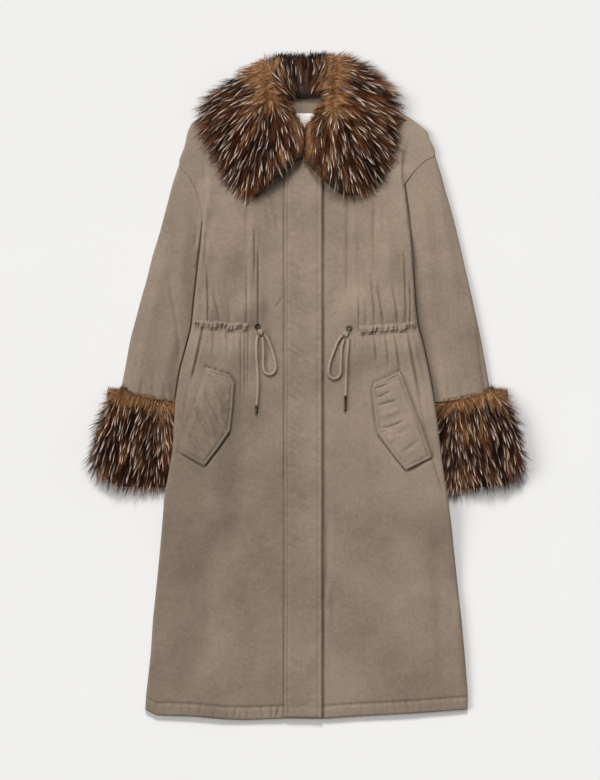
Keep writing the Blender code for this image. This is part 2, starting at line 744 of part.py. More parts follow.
def uncovered(points, side):
    """Distance, in metres, that points of a sleeve or cuff lie outside the body's edge."""
    if side == "right":
        return (edge(points[:, 1], "left") - points[:, 0]) * PIXEL
    return (points[:, 0] - edge(points[:, 1], "right")) * PIXEL


def build_sleeve(side):
    """A flattened sleeve tube, puffed where the body does not lie on it."""
    outer_rings, inner_rings = [], []
    for row in SLEEVES[side]:
        points, from_outer, from_inner = section_points(row, SLEEVE_COLUMNS, SLEEVE_RIM)
        half = 0.5 * SLEEVE_HEIGHT * rounded(np.minimum(from_outer, from_inner), SLEEVE_RIM)
        core = 0.5 * SLEEVE_HEIGHT
        free = smooth(uncovered(points, side) / SLEEVE_EASE) * smooth(from_outer / SLEEVE_EASE)
        over = core + half + SLEEVE_PUFF * free
        outer, inner = tube_rings(points, over, core - half, core, SLEEVE_SLIT)
        outer_rings.append(outer)
        inner_rings.append(inner)
    name = "sleeve_" + side
    add_object(name, loft(name, outer_rings, inner_rings), CLOTH_COLOUR, CLOTH_ROUGHNESS)


def build_cuff(side):
    """A fur cuff, a thick flattened tube that the body presses down at its inner side."""
    outer_rings, inner_rings = [], []
    for row in between_rows(CUFFS[side]):
        points, from_outer, from_inner = section_points(row, CUFF_COLUMNS, CUFF_RIM)
        peak = CUFF_PRESSED + (CUFF_PEAK - CUFF_PRESSED) * row.loft
        free = smooth((uncovered(points, side) - CUFF_SHELF) / CUFF_SLOPE)
        height = CUFF_PRESSED + (peak - CUFF_PRESSED) * free
        rim = rounded(np.minimum(from_outer, from_inner), CUFF_RIM)
        over = CUFF_CORE + (height - CUFF_CORE) * rim
        under = CUFF_CORE * (1.0 - rim)
        outer, inner = tube_rings(points, over, under, CUFF_CORE, CUFF_SLIT)
        outer_rings.append(outer)
        inner_rings.append(inner)
    name = "cuff_" + side
    add_object(name, loft(name, outer_rings, inner_rings), FUR_COLOUR, FUR_ROUGHNESS)


def collar_seat(x):
    """Height of the collar's underside: over the placket it lies one layer higher."""
    left_foot, left_step, right_step, right_foot = PLACKET_SHADOW
    climb = smooth((x - left_foot) / (left_step - left_foot))
    climb = climb * smooth((right_foot - x) / (right_foot - right_step))
    return COLLAR_SEAT + (PLACKET_WALL + SEAT_GAP) * climb


def build_collar(side):
    """Half of the fur collar, a fan of domed sections from the neck to the outer edge."""
    along = column(COLLAR_PROFILE, "along")
    loft_share = column(COLLAR_PROFILE, "loft")
    rings = []
    for row in between_rows(COLLARS[side]):
        x = row.neck_x + (row.outer_x - row.neck_x) * along
        y = row.neck_y + (row.outer_y - row.neck_y) * along
        seat = NECK_SEAT + (collar_seat(x) - NECK_SEAT) * row.climb
        past = smooth((along - row.rest) / max(1.0 - row.rest, HANG_LEAST))
        under = seat + (COLLAR_FLOOR - seat) * past
        over = under + COLLAR_LOFT * loft_share * row.loft
        top = metres(x, y, over)
        bottom = metres(x, y, under)
        rings.append(np.concatenate([top, bottom[::-1]]))
    name = "collar_" + side
    add_object(name, loft(name, rings), FUR_COLOUR, FUR_ROUGHNESS)


def build_neck():
    """The facing seen inside the back neck, with its blank label."""
    rows = [np.linspace((row.left, row.y), (row.right, row.y), FACING_COLUMNS) for row in FACING]
    points = np.array(rows)
    x, y = points[..., 0], points[..., 1]
    under = np.full(x.shape, WALL + 0.5 * SEAT_GAP)
    mesh = wall("neck_facing", metres(x, y, under + FACING_WALL), metres(x, y, under))
    add_object("neck_facing", mesh, CLOTH_COLOUR, CLOTH_ROUGHNESS)
    x0, y0, x1, y1 = LABEL
    bm = bmesh.new()
    bmesh.ops.create_cube(bm, size=1.0)
    bmesh.ops.scale(bm, vec=((x1 - x0) * PIXEL, (y1 - y0) * PIXEL, LABEL_WALL), verts=bm.verts)
    label = add_object("neck_label", mesh_from(bm, "neck_label"), LABEL_COLOUR, LABEL_ROUGHNESS)
    height = WALL + SEAT_GAP + FACING_WALL + 0.5 * LABEL_WALL
    label.location = metres(np.float64(0.5 * (x0 + x1)), np.float64(0.5 * (y0 + y1)), height)


def build_casing(side):
    """A gathered drawstring channel: one ridge for each gather."""
    strip = CASINGS[side]
    count = strip.gathers * POINTS_PER_GATHER + 1
    along, across = np.meshgrid(np.linspace(0.0, 1.0, count), np.linspace(1.0, -1.0, len(GATHER_RIM)))
    x = strip.x0 + (strip.x1 - strip.x0) * along
    y = strip.y0 + (strip.y1 - strip.y0) * along + strip.half * across
    under = front_outside(x, y) + SEAT_GAP
    wave = 0.5 - 0.5 * np.cos(2.0 * math.pi * strip.gathers * along)
    rim = np.array(GATHER_RIM)[:, None]
    over = under + CASING_WALL + GATHER_HEIGHT * wave * rim
    name = "waist_casing_" + side
    add_object(name, wall(name, metres(x, y, over), metres(x, y, under)), CLOTH_COLOUR, CLOTH_ROUGHNESS)


def build_flap(side):
    """A pocket flap lying on its front, thinner at its rim."""
    share = np.array(FLAP_COLUMNS)
    rows = []
    for row in reversed(FLAPS[side]):
        sewn = (row.sewn_x, row.sewn_y)
        free = (row.free_x, row.free_y)
        rows.append(np.outer(1.0 - share, sewn) + np.outer(share, free))
    points = np.array(rows)
    rim = np.tile(FLAP_ROUND, (len(rows), 1))
    rim[0] *= FLAP_END_ROUND
    rim[-1] *= FLAP_END_ROUND
    if side == "left":
        points = points[:, ::-1]
        rim = rim[:, ::-1]
    x, y = points[..., 0], points[..., 1]
    under = front_outside(x, y) + FLAP_SEAT
    name = "pocket_flap_" + side
    mesh = wall(name, metres(x, y, under + FLAP_WALL * rim), metres(x, y, under))
    add_object(name, mesh, CLOTH_COLOUR, CLOTH_ROUGHNESS)


def smooth_route(points, step):
    """Places at even steps along a smooth curve through a route's points."""
    points = np.array(points, dtype=float)
    padded = np.concatenate([[2 * points[0] - points[1]], points, [2 * points[-1] - points[-2]]])
    fine = []
    for before, start, end, after in zip(padded, padded[1:], padded[2:], padded[3:]):
        t = np.linspace(0.0, 1.0, ROUTE_STEPS, endpoint=False)[:, None]
        bend = 2 * before - 5 * start + 4 * end - after
        twist = -before + 3 * start - 3 * end + after
        fine.append(0.5 * (2 * start + (end - before) * t + bend * t ** 2 + twist * t ** 3))
    fine = np.concatenate(fine + [points[-1:]])
    travelled = np.concatenate([[0.0], np.cumsum(np.linalg.norm(np.diff(fine, axis=0), axis=1))])
    count = max(2, int(round(travelled[-1] / step)) + 1)
    stations = np.linspace(0.0, travelled[-1], count)
    return np.stack([np.interp(stations, travelled, fine[:, axis]) for axis in range(2)], axis=-1)


def tilt_on_fronts(x, y, reach):
    """Rotation that lays a flat ring of this reach on the fronts' slope."""
    step = reach / PIXEL
    east, west = front_outside(np.array([x + step, x - step]), np.array([y, y]))
    north, south = front_outside(np.array([x, x]), np.array([y - step, y + step]))
    normal = Vector((west - east, south - north, 2.0 * reach))
    return normal.to_track_quat("Z", "Y").to_euler()


def cord_place(x, y, radius):
    """A point of a round thing of this radius that lies on the fronts."""
    return metres(x, y, front_outside(x, y) + CORD_LIFT + radius)


def build_cord_run(name, route):
    """A tube along a route on the fronts."""
    view = smooth_route(route, CORD_STEP / PIXEL)
    places = cord_place(view[:, 0], view[:, 1], 0.5 * CORD_DIAMETER)
    curve = bpy.data.curves.new(name, "CURVE")
    curve.dimensions = "3D"
    curve.bevel_depth = 0.5 * CORD_DIAMETER
    curve.bevel_resolution = CORD_RESOLUTION
    curve.use_fill_caps = True
    spline = curve.splines.new("POLY")
    spline.points.add(len(places) - 1)
    for point, place in zip(spline.points, places):
        point.co = (*place, 1.0)
    add_object(name, curve, CLOTH_COLOUR, CLOTH_ROUGHNESS)


def build_cord(side):
    """The tied drawcord of one side: eyelet, knot, loop, free end and metal aglet."""
    cord = CORDS[side]
    bpy.ops.mesh.primitive_torus_add(
        major_segments=RING_SEGMENTS[0], minor_segments=RING_SEGMENTS[1],
        major_radius=EYELET_RADIUS, minor_radius=EYELET_WIRE)
    ring = bpy.context.object
    mesh = ring.data
    bpy.data.objects.remove(ring)
    mesh.shade_smooth()
    eyelet = add_object("eyelet_" + side, mesh, METAL_COLOUR, METAL_ROUGHNESS, 1.0)
    eyelet.location = cord_place(*np.array(cord.eyelet), EYELET_WIRE)
    eyelet.rotation_euler = tilt_on_fronts(*cord.eyelet, EYELET_RADIUS)
    bm = bmesh.new()
    bmesh.ops.create_uvsphere(bm, u_segments=KNOT_SEGMENTS[0], v_segments=KNOT_SEGMENTS[1], radius=1.0)
    bmesh.ops.scale(bm, vec=KNOT_HALF, verts=bm.verts)
    knot = add_object("cord_knot_" + side, mesh_from(bm, "cord_knot"), CLOTH_COLOUR, CLOTH_ROUGHNESS)
    knot.location = cord_place(*np.array(cord.knot), KNOT_HALF[2])
    build_cord_run("cord_loop_" + side, cord.loop)
    build_cord_run("cord_end_" + side, cord.end)
    last = np.array(cord.end[-1])
    tip = np.array(cord.tip)
    run = (tip - last) / np.linalg.norm(tip - last)
    start = cord_place(*(last + run * SEAT_GAP / PIXEL), AGLET_RADIUS)
    finish = cord_place(*tip, AGLET_RADIUS)
    bm = bmesh.new()
    length = float(np.linalg.norm(finish - start))
    bmesh.ops.create_cone(
        bm, cap_ends=True, segments=AGLET_SEGMENTS, radius1=AGLET_RADIUS, radius2=AGLET_TIP, depth=length)
    aglet = add_object("aglet_" + side, mesh_from(bm, "aglet"), METAL_COLOUR, METAL_ROUGHNESS, 1.0)
    aglet.location = 0.5 * (start + finish)
    heading = math.atan2(finish[1] - start[1], finish[0] - start[0])
    slope = math.acos((finish[2] - start[2]) / length)
    aglet.rotation_euler = (0.0, slope, heading)


for old in list(bpy.data.objects):
    bpy.data.objects.remove(old)
coat = bpy.data.collections.new("parka")
bpy.context.scene.collection.children.link(coat)
stand = bpy.data.objects.new("parka_stand", None)
coat.objects.link(stand)

build_back()
build_neck()
for wearer_side in ("right", "left"):
    build_front(wearer_side)
fronts = fronts_surface()
build_placket()
for wearer_side in ("right", "left"):
    build_sleeve(wearer_side)
    build_cuff(wearer_side)
    build_collar(wearer_side)
    build_casing(wearer_side)
    build_flap(wearer_side)
    build_cord(wearer_side)
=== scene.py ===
"""A long parka with a fur collar and fur cuffs, laid out flat: its cloth, fur, cords and stitching.

Metres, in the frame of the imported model. Places across the coat are given as pixels of its front
view, x to the right and y down; PIXEL is the real size of one pixel.
"""

import math
from collections import namedtuple

import bpy
import numpy as np
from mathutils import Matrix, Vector
from mathutils.bvhtree import BVHTree


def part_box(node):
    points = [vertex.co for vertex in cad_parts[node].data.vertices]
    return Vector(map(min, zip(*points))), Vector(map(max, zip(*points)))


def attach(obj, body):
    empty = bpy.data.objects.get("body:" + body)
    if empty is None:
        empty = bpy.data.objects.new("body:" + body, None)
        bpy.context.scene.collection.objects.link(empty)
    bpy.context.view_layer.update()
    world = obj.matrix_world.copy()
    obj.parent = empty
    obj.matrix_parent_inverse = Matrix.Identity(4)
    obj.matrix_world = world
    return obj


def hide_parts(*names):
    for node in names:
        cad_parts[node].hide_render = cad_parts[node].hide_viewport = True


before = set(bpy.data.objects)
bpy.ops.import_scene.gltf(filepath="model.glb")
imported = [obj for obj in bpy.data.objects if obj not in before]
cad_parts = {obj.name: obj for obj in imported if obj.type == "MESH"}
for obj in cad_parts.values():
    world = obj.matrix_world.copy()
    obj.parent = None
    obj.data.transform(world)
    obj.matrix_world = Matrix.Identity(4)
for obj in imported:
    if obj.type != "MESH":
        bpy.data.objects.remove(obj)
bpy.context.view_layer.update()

# Driving dimensions
COAT_LENGTH = 1.2046        # collar crest to hem
VIEW_LENGTH = 669.2         # the same length in pixels of the front view
PIXEL = COAT_LENGTH / VIEW_LENGTH
VIEW_MIDDLE = (307.0, 386.0)

# Cloth layers
WALL = 0.006                # padded cloth: shell, wadding and lining
LAYER_GAP = 0.0008          # between the back and the fronts that lie on it
SEAT_GAP = 0.0008           # between a panel and what lies on it
EDGE_SHARE = 0.3            # share of the wall left at the very rim
BACK_RIM_RISE = 0.0025
FRONT_BASE = WALL + LAYER_GAP
FRONT_TOP = FRONT_BASE + WALL

# Sleeve and cuff sections
SLEEVE_HEIGHT = 0.012
SLEEVE_PUFF = 0.007
SLEEVE_SLIT = 0.0006        # half the space left inside the flattened tube
SLEEVE_SLIT_LEVEL = 0.0025
SLEEVE_RIM = 0.007
CUFF_PEAK = 0.043
CUFF_PRESSED = 0.0178       # height of the fur that the body presses down
CUFF_SHELF = 0.022          # fur beside the body that stays pressed, and the slope after it
CUFF_SLOPE = 0.040
CUFF_SLIT = 0.0012
CUFF_CORE = 0.008           # height of the hand opening above the floor
CUFF_RIM = 0.018

# Collar, strips and flaps
COLLAR_LOFT = 0.040
COLLAR_SEAT = FRONT_TOP + SEAT_GAP
NECK_SEAT = 0.0088
COLLAR_FLOOR = 0.0012       # height of the fur tips that hang past the shoulder
PLACKET_WALL = 0.0035
FLAP_WALL = 0.0035
FACING_WALL = 0.0014
LABEL_WALL = 0.0005

# Cords and hardware
CORD_DIAMETER = 0.005
CORD_LIFT = 0.0007
ROUTE_STEPS = 20            # between two points of a cord's route
EYELET_RADIUS = 0.0040
EYELET_WIRE = 0.0011
KNOT_HALF = 0.0040          # half the knot's height
KNOT_BENDS = (0.00125, 0.00105, 0.0012)
KNOT_RADIUS = 0.0019
AGLET_RADIUS = 0.0027

CENTRE_FRONT = 289.75       # where the two fronts meet under the placket
CENTRE_GAP = 0.4
SIDES = ("right", "left")   # the wearer's


def rows_of(kind, *rows):
    """Named rows from plain ones."""
    return tuple(kind(*row) for row in rows)


BodyRow = namedtuple("BodyRow", "y left right")
BODY = rows_of(
    BodyRow,
    (185, 204.0, 405.0), (209, 203.0, 408.0), (223, 202.0, 409.5), (247, 200.5, 411.3),
    (272, 197.6, 413.0), (302, 194.2, 415.0), (326, 192.0, 417.5), (340, 188.6, 421.8),
    (369, 180.6, 428.0), (397, 176.0, 433.3), (423, 174.2, 437.3), (449, 173.0, 440.2),
    (478, 168.0, 444.2), (498, 164.5, 447.5), (520, 162.8, 450.6), (560, 159.0, 455.0),
    (620, 152.7, 461.8), (656, 150.3, 465.0), (695, 146.0, 468.0), (711, 144.8, 467.5),
)

# The hem hangs lower towards the middle than at its corners
HEM_Y = 711.0
HEM_FADE_Y = 600.0
HEM_STITCH = 12.5
HEM_GROOVE = 0.0026
HEM_GROOVE_WIDTH = 1.7
BACK_HEM_RISE = 1.2
HemPoint = namedtuple("HemPoint", "x drop")
HEM = rows_of(
    HemPoint,
    (144.8, -1.0), (156, 5.0), (193, 6.0), (223, 9.0), (247, 9.6), (285, 8.0), (321, 8.5), (356, 6.0),
    (414, 3.0), (467.5, -1.0),
)

# Height that sleeves and cuffs beneath add to the body, and how far they reach under it
LIFT_CLEAR = 2.0
LIFT_BLEND = 36.0
LiftRow = namedtuple("LiftRow", "y height left_under right_under")
LIFT = rows_of(
    LiftRow,
    (223, 0.0, 12, 12), (254, 0.0131, 16, 16), (270, 0.0131, 22, 22), (285, 0.0131, 30, 30),
    (303, 0.0131, 43, 44), (325, 0.0131, 45, 44), (343, 0.0131, 43, 40), (368, 0.0140, 39, 34),
    (396, 0.0186, 36, 31), (425, 0.0186, 36, 31), (448, 0.0186, 37, 34), (468, 0.0186, 40, 37),
    (512, 0.0186, 42, 37), (545, 0.0080, 38, 34), (585, 0.0, 30, 28),
)

# Largest folds of the fronts: ridges, or troughs where the height is below zero
Fold = namedtuple("Fold", "x0 y0 x1 y1 width height")
FOLDS = rows_of(
    Fold,
    (194, 327, 258, 329, 7, -0.0016), (348, 331, 416, 328, 7, -0.0016),
    (198, 306, 262, 310, 14, 0.0036), (344, 310, 412, 307, 14, 0.0036),
    (190, 349, 262, 353, 15, 0.0034), (344, 353, 420, 349, 15, 0.0034), (207, 182, 204, 234, 8, 0.0026),
    (406, 168, 408, 224, 8, 0.0026), (252, 226, 250, 318, 12, 0.0028), (358, 226, 354, 318, 12, 0.0028),
    (228, 250, 212, 318, 11, 0.0024), (384, 250, 398, 318, 11, 0.0024),
    (204, 342, 190, 420, 10, 0.0020), (410, 342, 424, 430, 10, 0.0020),
    (250, 380, 248, 470, 13, 0.0020), (180, 500, 172, 690, 17, 0.0022),
    (432, 500, 440, 690, 17, 0.0022), (240, 490, 236, 690, 20, 0.0018),
    (372, 490, 380, 690, 20, 0.0018),
)

# Armhole seams, from underarm to shoulder tip, bowed towards the neck
Armhole = namedtuple("Armhole", "x0 y0 x1 y1 bow")
ARMHOLES = {
    "right": Armhole(202.0, 223.0, 179.0, 164.0, 6.0),
    "left": Armhole(405.0, 185.0, 435.0, 154.0, 2.8),
}
ARMHOLE_STEPS = (0.25, 0.5, 0.75, 1.0)

# Upper ends of the fronts: shoulder edge against neck edge
YokeRow = namedtuple("YokeRow", "outer_x outer_y inner_x inner_y")
YOKES = {
    "right": rows_of(
        YokeRow,
        (184, 147, CENTRE_FRONT, 172), (193, 122, 289, 157), (225, 107, 281, 138), (255, 96, 267, 115),
    ),
    "left": rows_of(
        YokeRow,
        (430, 139, CENTRE_FRONT + CENTRE_GAP, 166), (424, 128, 296, 155), (392, 107, 331, 138),
        (357, 96, 345, 115),
    ),
}
BackRow = namedtuple("BackRow", "left_x left_y right_x right_y")
BACK_YOKE = rows_of(
    BackRow,
    (184, 147, 430, 139), (193, 122, 424, 128), (225, 107, 392, 107), (262, 94, 350, 94),
)

# Sleeve sections, from the armhole to the cuff; the inner ends lie beside or under the body
SleeveRow = namedtuple("SleeveRow", "outer_x outer_y inner_x inner_y bow")
SLEEVES = {
    "right": rows_of(
        SleeveRow,
        (178.4, 164.6, 201.3, 223.3, 6.0), (172.5, 183, 201.0, 233, 4.5), (166.5, 206, 200.2, 244, 2.5),
        (159.0, 234, 199.0, 256, 1.0), (152.5, 255, 197.9, 264, 0.0), (146.5, 279, 214, 285, 0.0),
        (140.5, 300, 231, 305, 0.0), (135.0, 321, 232, 325, 0.0), (130.0, 340, 226, 343, 0.0),
        (125.4, 365, 215, 368, 0.0), (121.6, 384, 208.5, 391, -2.0), (120.4, 390.2, 206, 402.2, -3.7),
    ),
    "left": rows_of(
        SleeveRow,
        (435.6, 154.6, 405.7, 185.3, 2.8), (440.5, 171, 407.9, 203, 2.0), (446.0, 191, 409.9, 220, 1.0),
        (453.5, 217, 411.5, 240, 0.0), (460.0, 244, 412.9, 258, 0.0), (466.5, 272, 396, 281, 0.0),
        (472.5, 298, 377, 304, 0.0), (477.5, 321, 378, 325, 0.0), (481.5, 340, 386.5, 343, 0.0),
        (486.0, 365, 398.5, 368, 0.0), (489.6, 385, 406.0, 391, -2.0),
        (491.2, 391.2, 408.8, 402.4, -3.6),
    ),
}

# Cuff sections, from the sleeve's end to the hand opening
CuffRow = namedtuple("CuffRow", "outer_x outer_y inner_x inner_y bow loft")
CUFFS = {
    "right": rows_of(
        CuffRow,
        (111, 389.0, 204.5, 403.5, -4.5, 0.25), (102, 401, 205, 413, -2.5, 0.75),
        (94.5, 424, 205, 432, 0.0, 1.00), (90, 444, 205, 450, 0.0, 1.00),
        (86, 465, 204, 468, 0.0, 1.00), (92, 477, 203, 482, 0.0, 0.75),
        (108, 492, 201.5, 494, 0.0, 0.25),
    ),
    "left": rows_of(
        CuffRow,
        (503.5, 389.5, 410.5, 404, -4.5, 0.25), (514, 403, 411, 415, -2.5, 0.75),
        (521, 424, 411, 432, 0.0, 1.00), (526, 444, 411.5, 450, 0.0, 1.00),
        (528, 470, 413, 471, 0.0, 1.00), (522, 482, 415, 488, 0.0, 0.75),
        (508, 490, 418, 503, 0.0, 0.25),
    ),
}

# Collar sections, from centre back round to the front edge: neck edge, outer edge, the share of
# the section that rests on the coat before it hangs past the shoulder, whether it has climbed
# from the neck facing onto the fronts, and its share of the fur's full height
CollarRow = namedtuple("CollarRow", "neck_x neck_y outer_x outer_y rest climb loft")
COLLARS = {
    "right": rows_of(
        CollarRow,
        (305.1, 99, 305.1, 57, 0.2, 0, 0.75), (294, 98, 284, 56, 0.2, 0, 0.80),
        (290, 106, 262, 57, 0.3, 1, 0.88), (290, 112, 232, 76, 0.5, 1, 0.94),
        (294, 118, 205, 94, 0.75, 1, 1.00), (299, 123, 195, 112, 1.0, 1, 1.00),
        (303.4, 127, 198, 136, 1.0, 1, 1.00), (304.1, 134, 212, 163, 1.0, 1, 1.00),
        (304.1, 140, 222, 183, 1.0, 1, 1.00), (304.1, 146, 248, 203, 1.0, 1, 1.00),
        (304.1, 152, 264, 189, 1.0, 1, 0.95), (303.2, 156, 280, 175, 1.0, 1, 0.75),
        (302, 159, 292, 166, 1.0, 1, 0.40),
    ),
    "left": rows_of(
        CollarRow,
        (305.4, 99, 305.4, 57, 0.2, 0, 0.75), (318, 98, 325, 54, 0.2, 0, 0.80),
        (321, 106, 345, 51.4, 0.3, 1, 0.88), (320, 113, 372, 66, 0.5, 1, 0.94),
        (315, 119, 392, 82, 0.75, 1, 1.00), (310, 123, 403, 98, 1.0, 1, 1.00),
        (305.0, 127, 404, 118, 1.0, 1, 1.00), (304.4, 134, 399, 152, 1.0, 1, 1.00),
        (304.4, 141, 386, 179, 1.0, 1, 1.00), (304.4, 148, 369, 198, 1.0, 1, 1.00),
        (304.4, 154, 346, 199, 1.0, 1, 0.95), (305.2, 159, 325, 183, 1.0, 1, 0.75),
        (306, 163, 314, 171, 1.0, 1, 0.40),
    ),
}
ProfilePoint = namedtuple("ProfilePoint", "along loft")
COLLAR_PROFILE = rows_of(
    ProfilePoint,
    (0.0, 0.12), (0.06, 0.55), (0.14, 0.82), (0.22, 0.92), (0.34, 1.0), (0.50, 1.0), (0.66, 0.90),
    (0.82, 0.68), (0.93, 0.38), (1.0, 0.10),
)
PLACKET_SHADOW = (262.0, 283.0, 325.0, 346.0)   # where the collar climbs onto the placket

# Placket: how far it stops above the hem
PLACKET_HEM_RISE = 2.0

# Back neck facing and the blank label on it
FacingRow = namedtuple("FacingRow", "y left right")
FACING = rows_of(
    FacingRow,
    (138, 284, 328), (112, 270, 341), (97, 268, 343),
)
LABEL = (295.0, 113.0, 315.0, 127.0)

# Drawstring casings: left end, right end, half their height
Casing = namedtuple("Casing", "x0 y0 x1 y1 half")
CASINGS = {
    "right": Casing(194.5, 324.5, 248.0, 328.0, 5.0),
    "left": Casing(359.0, 331.0, 415.0, 326.5, 5.0),
}

# Pocket flaps, from top to bottom: sewn edge against free edge
FlapRow = namedtuple("FlapRow", "sewn_x sewn_y free_x free_y")
FLAPS = {
    "right": rows_of(
        FlapRow,
        (206, 367, 230, 374.8), (203, 376, 235, 383), (194.5, 402, 233.2, 408), (186, 427, 230.5, 431),
        (181.5, 440.5, 218, 449), (178, 451, 205, 466),
    ),
    "left": rows_of(
        FlapRow,
        (400, 371, 374, 383.4), (403.5, 380, 372, 391), (413, 405, 374.2, 413), (422, 428, 377, 433),
        (427, 443, 391, 452), (432, 457.5, 405.5, 470),
    ),
}

# Drawcords: eyelet, knot, the loop's route, the free end's route and the aglet's tip
Cord = namedtuple("Cord", "eyelet knot loop end tip")
CORDS = {
    "right": Cord(
        (257.4, 326.4),
        (260.8, 331.8),
        ((264.6, 334.0), (268.4, 341), (272.2, 351), (274.9, 361), (275.6, 368.4), (273.8, 372.6),
         (269.6, 374.4), (265.4, 372.6), (263.6, 368.4), (263.3, 360), (263.5, 350), (262.4, 337.2)),
        ((257.6, 335.6), (256.4, 345), (256.6, 357), (257.6, 372), (258.0, 386), (257.3, 398),
         (256.6, 405.4)),
        (256.2, 413.4),
    ),
    "left": Cord(
        (349.0, 328.4),
        (346.0, 334.0),
        ((341.9, 335.6), (337.6, 342), (333.6, 352), (329.9, 362.6), (328.5, 372.6), (330.3, 376.8),
         (334.5, 378.6), (338.7, 376.8), (340.5, 372.6), (341.0, 364), (341.2, 355), (341.9, 347),
         (343.8, 339.8)),
        ((348.2, 339.0), (348.0, 346), (347.0, 358), (346.4, 372), (346.0, 385), (345.5, 395.4)),
        (345.0, 411.0),
    ),
}


def column(table, name):
    """One named column of a table, as an array."""
    return np.array([getattr(row, name) for row in table], dtype=float)


def smooth(value):
    """Ease from 0 to 1."""
    value = np.clip(value, 0.0, 1.0)
    return value * value * (3.0 - 2.0 * value)


def rounded(distance, width):
    """Quarter-circle rise from 0 at a rim to 1 at the given width."""
    share = np.clip(distance / width, 0.0, 1.0)
    return np.sqrt(1.0 - (1.0 - share) ** 2)


def ridge(offset, width):
    """Height of a rounded ridge, 1 at its crest."""
    return np.exp(-(offset / width) ** 2)


def view_of(x, y):
    """Places of the front view, from metres across the coat."""
    return x / PIXEL + VIEW_MIDDLE[0], VIEW_MIDDLE[1] - y / PIXEL


def plan_of(x, y):
    """Metres across the coat, from places of the front view."""
    return (x - VIEW_MIDDLE[0]) * PIXEL, (VIEW_MIDDLE[1] - y) * PIXEL


def metres(x, y, z):
    """Points of the front view with their heights, as an array of metres."""
    return np.stack([*plan_of(x, y), z + 0.0 * x], axis=-1)


def hem_drop(x, y):
    """How far a row of the skirt sinks towards the hem's own line."""
    drop = np.interp(x, column(HEM, "x"), column(HEM, "drop"))
    return drop * smooth((y - HEM_FADE_Y) / (HEM_Y - HEM_FADE_Y))


def armhole(side, along):
    """A point of the armhole seam, from the underarm to the shoulder tip."""
    seam = ARMHOLES[side]
    run = np.array([seam.x1 - seam.x0, seam.y1 - seam.y0])
    normal = np.array([-run[1], run[0]]) / np.linalg.norm(run)
    if (normal[0] > 0) != (side == "right"):
        normal = -normal
    bow = seam.bow * math.sin(math.pi * along)
    return np.array([seam.x0, seam.y0]) + run * along + normal * bow


def uncovered(points, side):
    """Distance, in metres, that points of a sleeve or cuff lie outside the body's edge."""
    if side == "right":
        return (edge(points[:, 1], "left") - points[:, 0]) * PIXEL
    return (points[:, 0] - edge(points[:, 1], "right")) * PIXEL


def collar_seat(x):
    """Height of the collar's underside: over the placket it lies one layer higher."""
    left_foot, left_step, right_step, right_foot = PLACKET_SHADOW
    climb = smooth((x - left_foot) / (left_step - left_foot))
    climb = climb * smooth((right_foot - x) / (right_foot - right_step))
    return COLLAR_SEAT + (PLACKET_WALL + SEAT_GAP) * climb


def travelled(points):
    """Length along a line, at each of its points."""
    return np.concatenate([[0.0], np.cumsum(np.linalg.norm(np.diff(points, axis=0), axis=1))])


def at_stations(stations, lengths, points):
    """Points at given lengths along a line, whose own points lie at the given lengths."""
    return np.stack([np.interp(stations, lengths, values) for values in points.T], axis=-1)


def smooth_route(points, step):
    """Places at even steps along a smooth curve through a route's points."""
    fine = between_keys(points, ROUTE_STEPS)
    lengths = travelled(fine)
    count = max(2, int(round(lengths[-1] / step)) + 1)
    return at_stations(np.linspace(0.0, lengths[-1], count), lengths, fine)


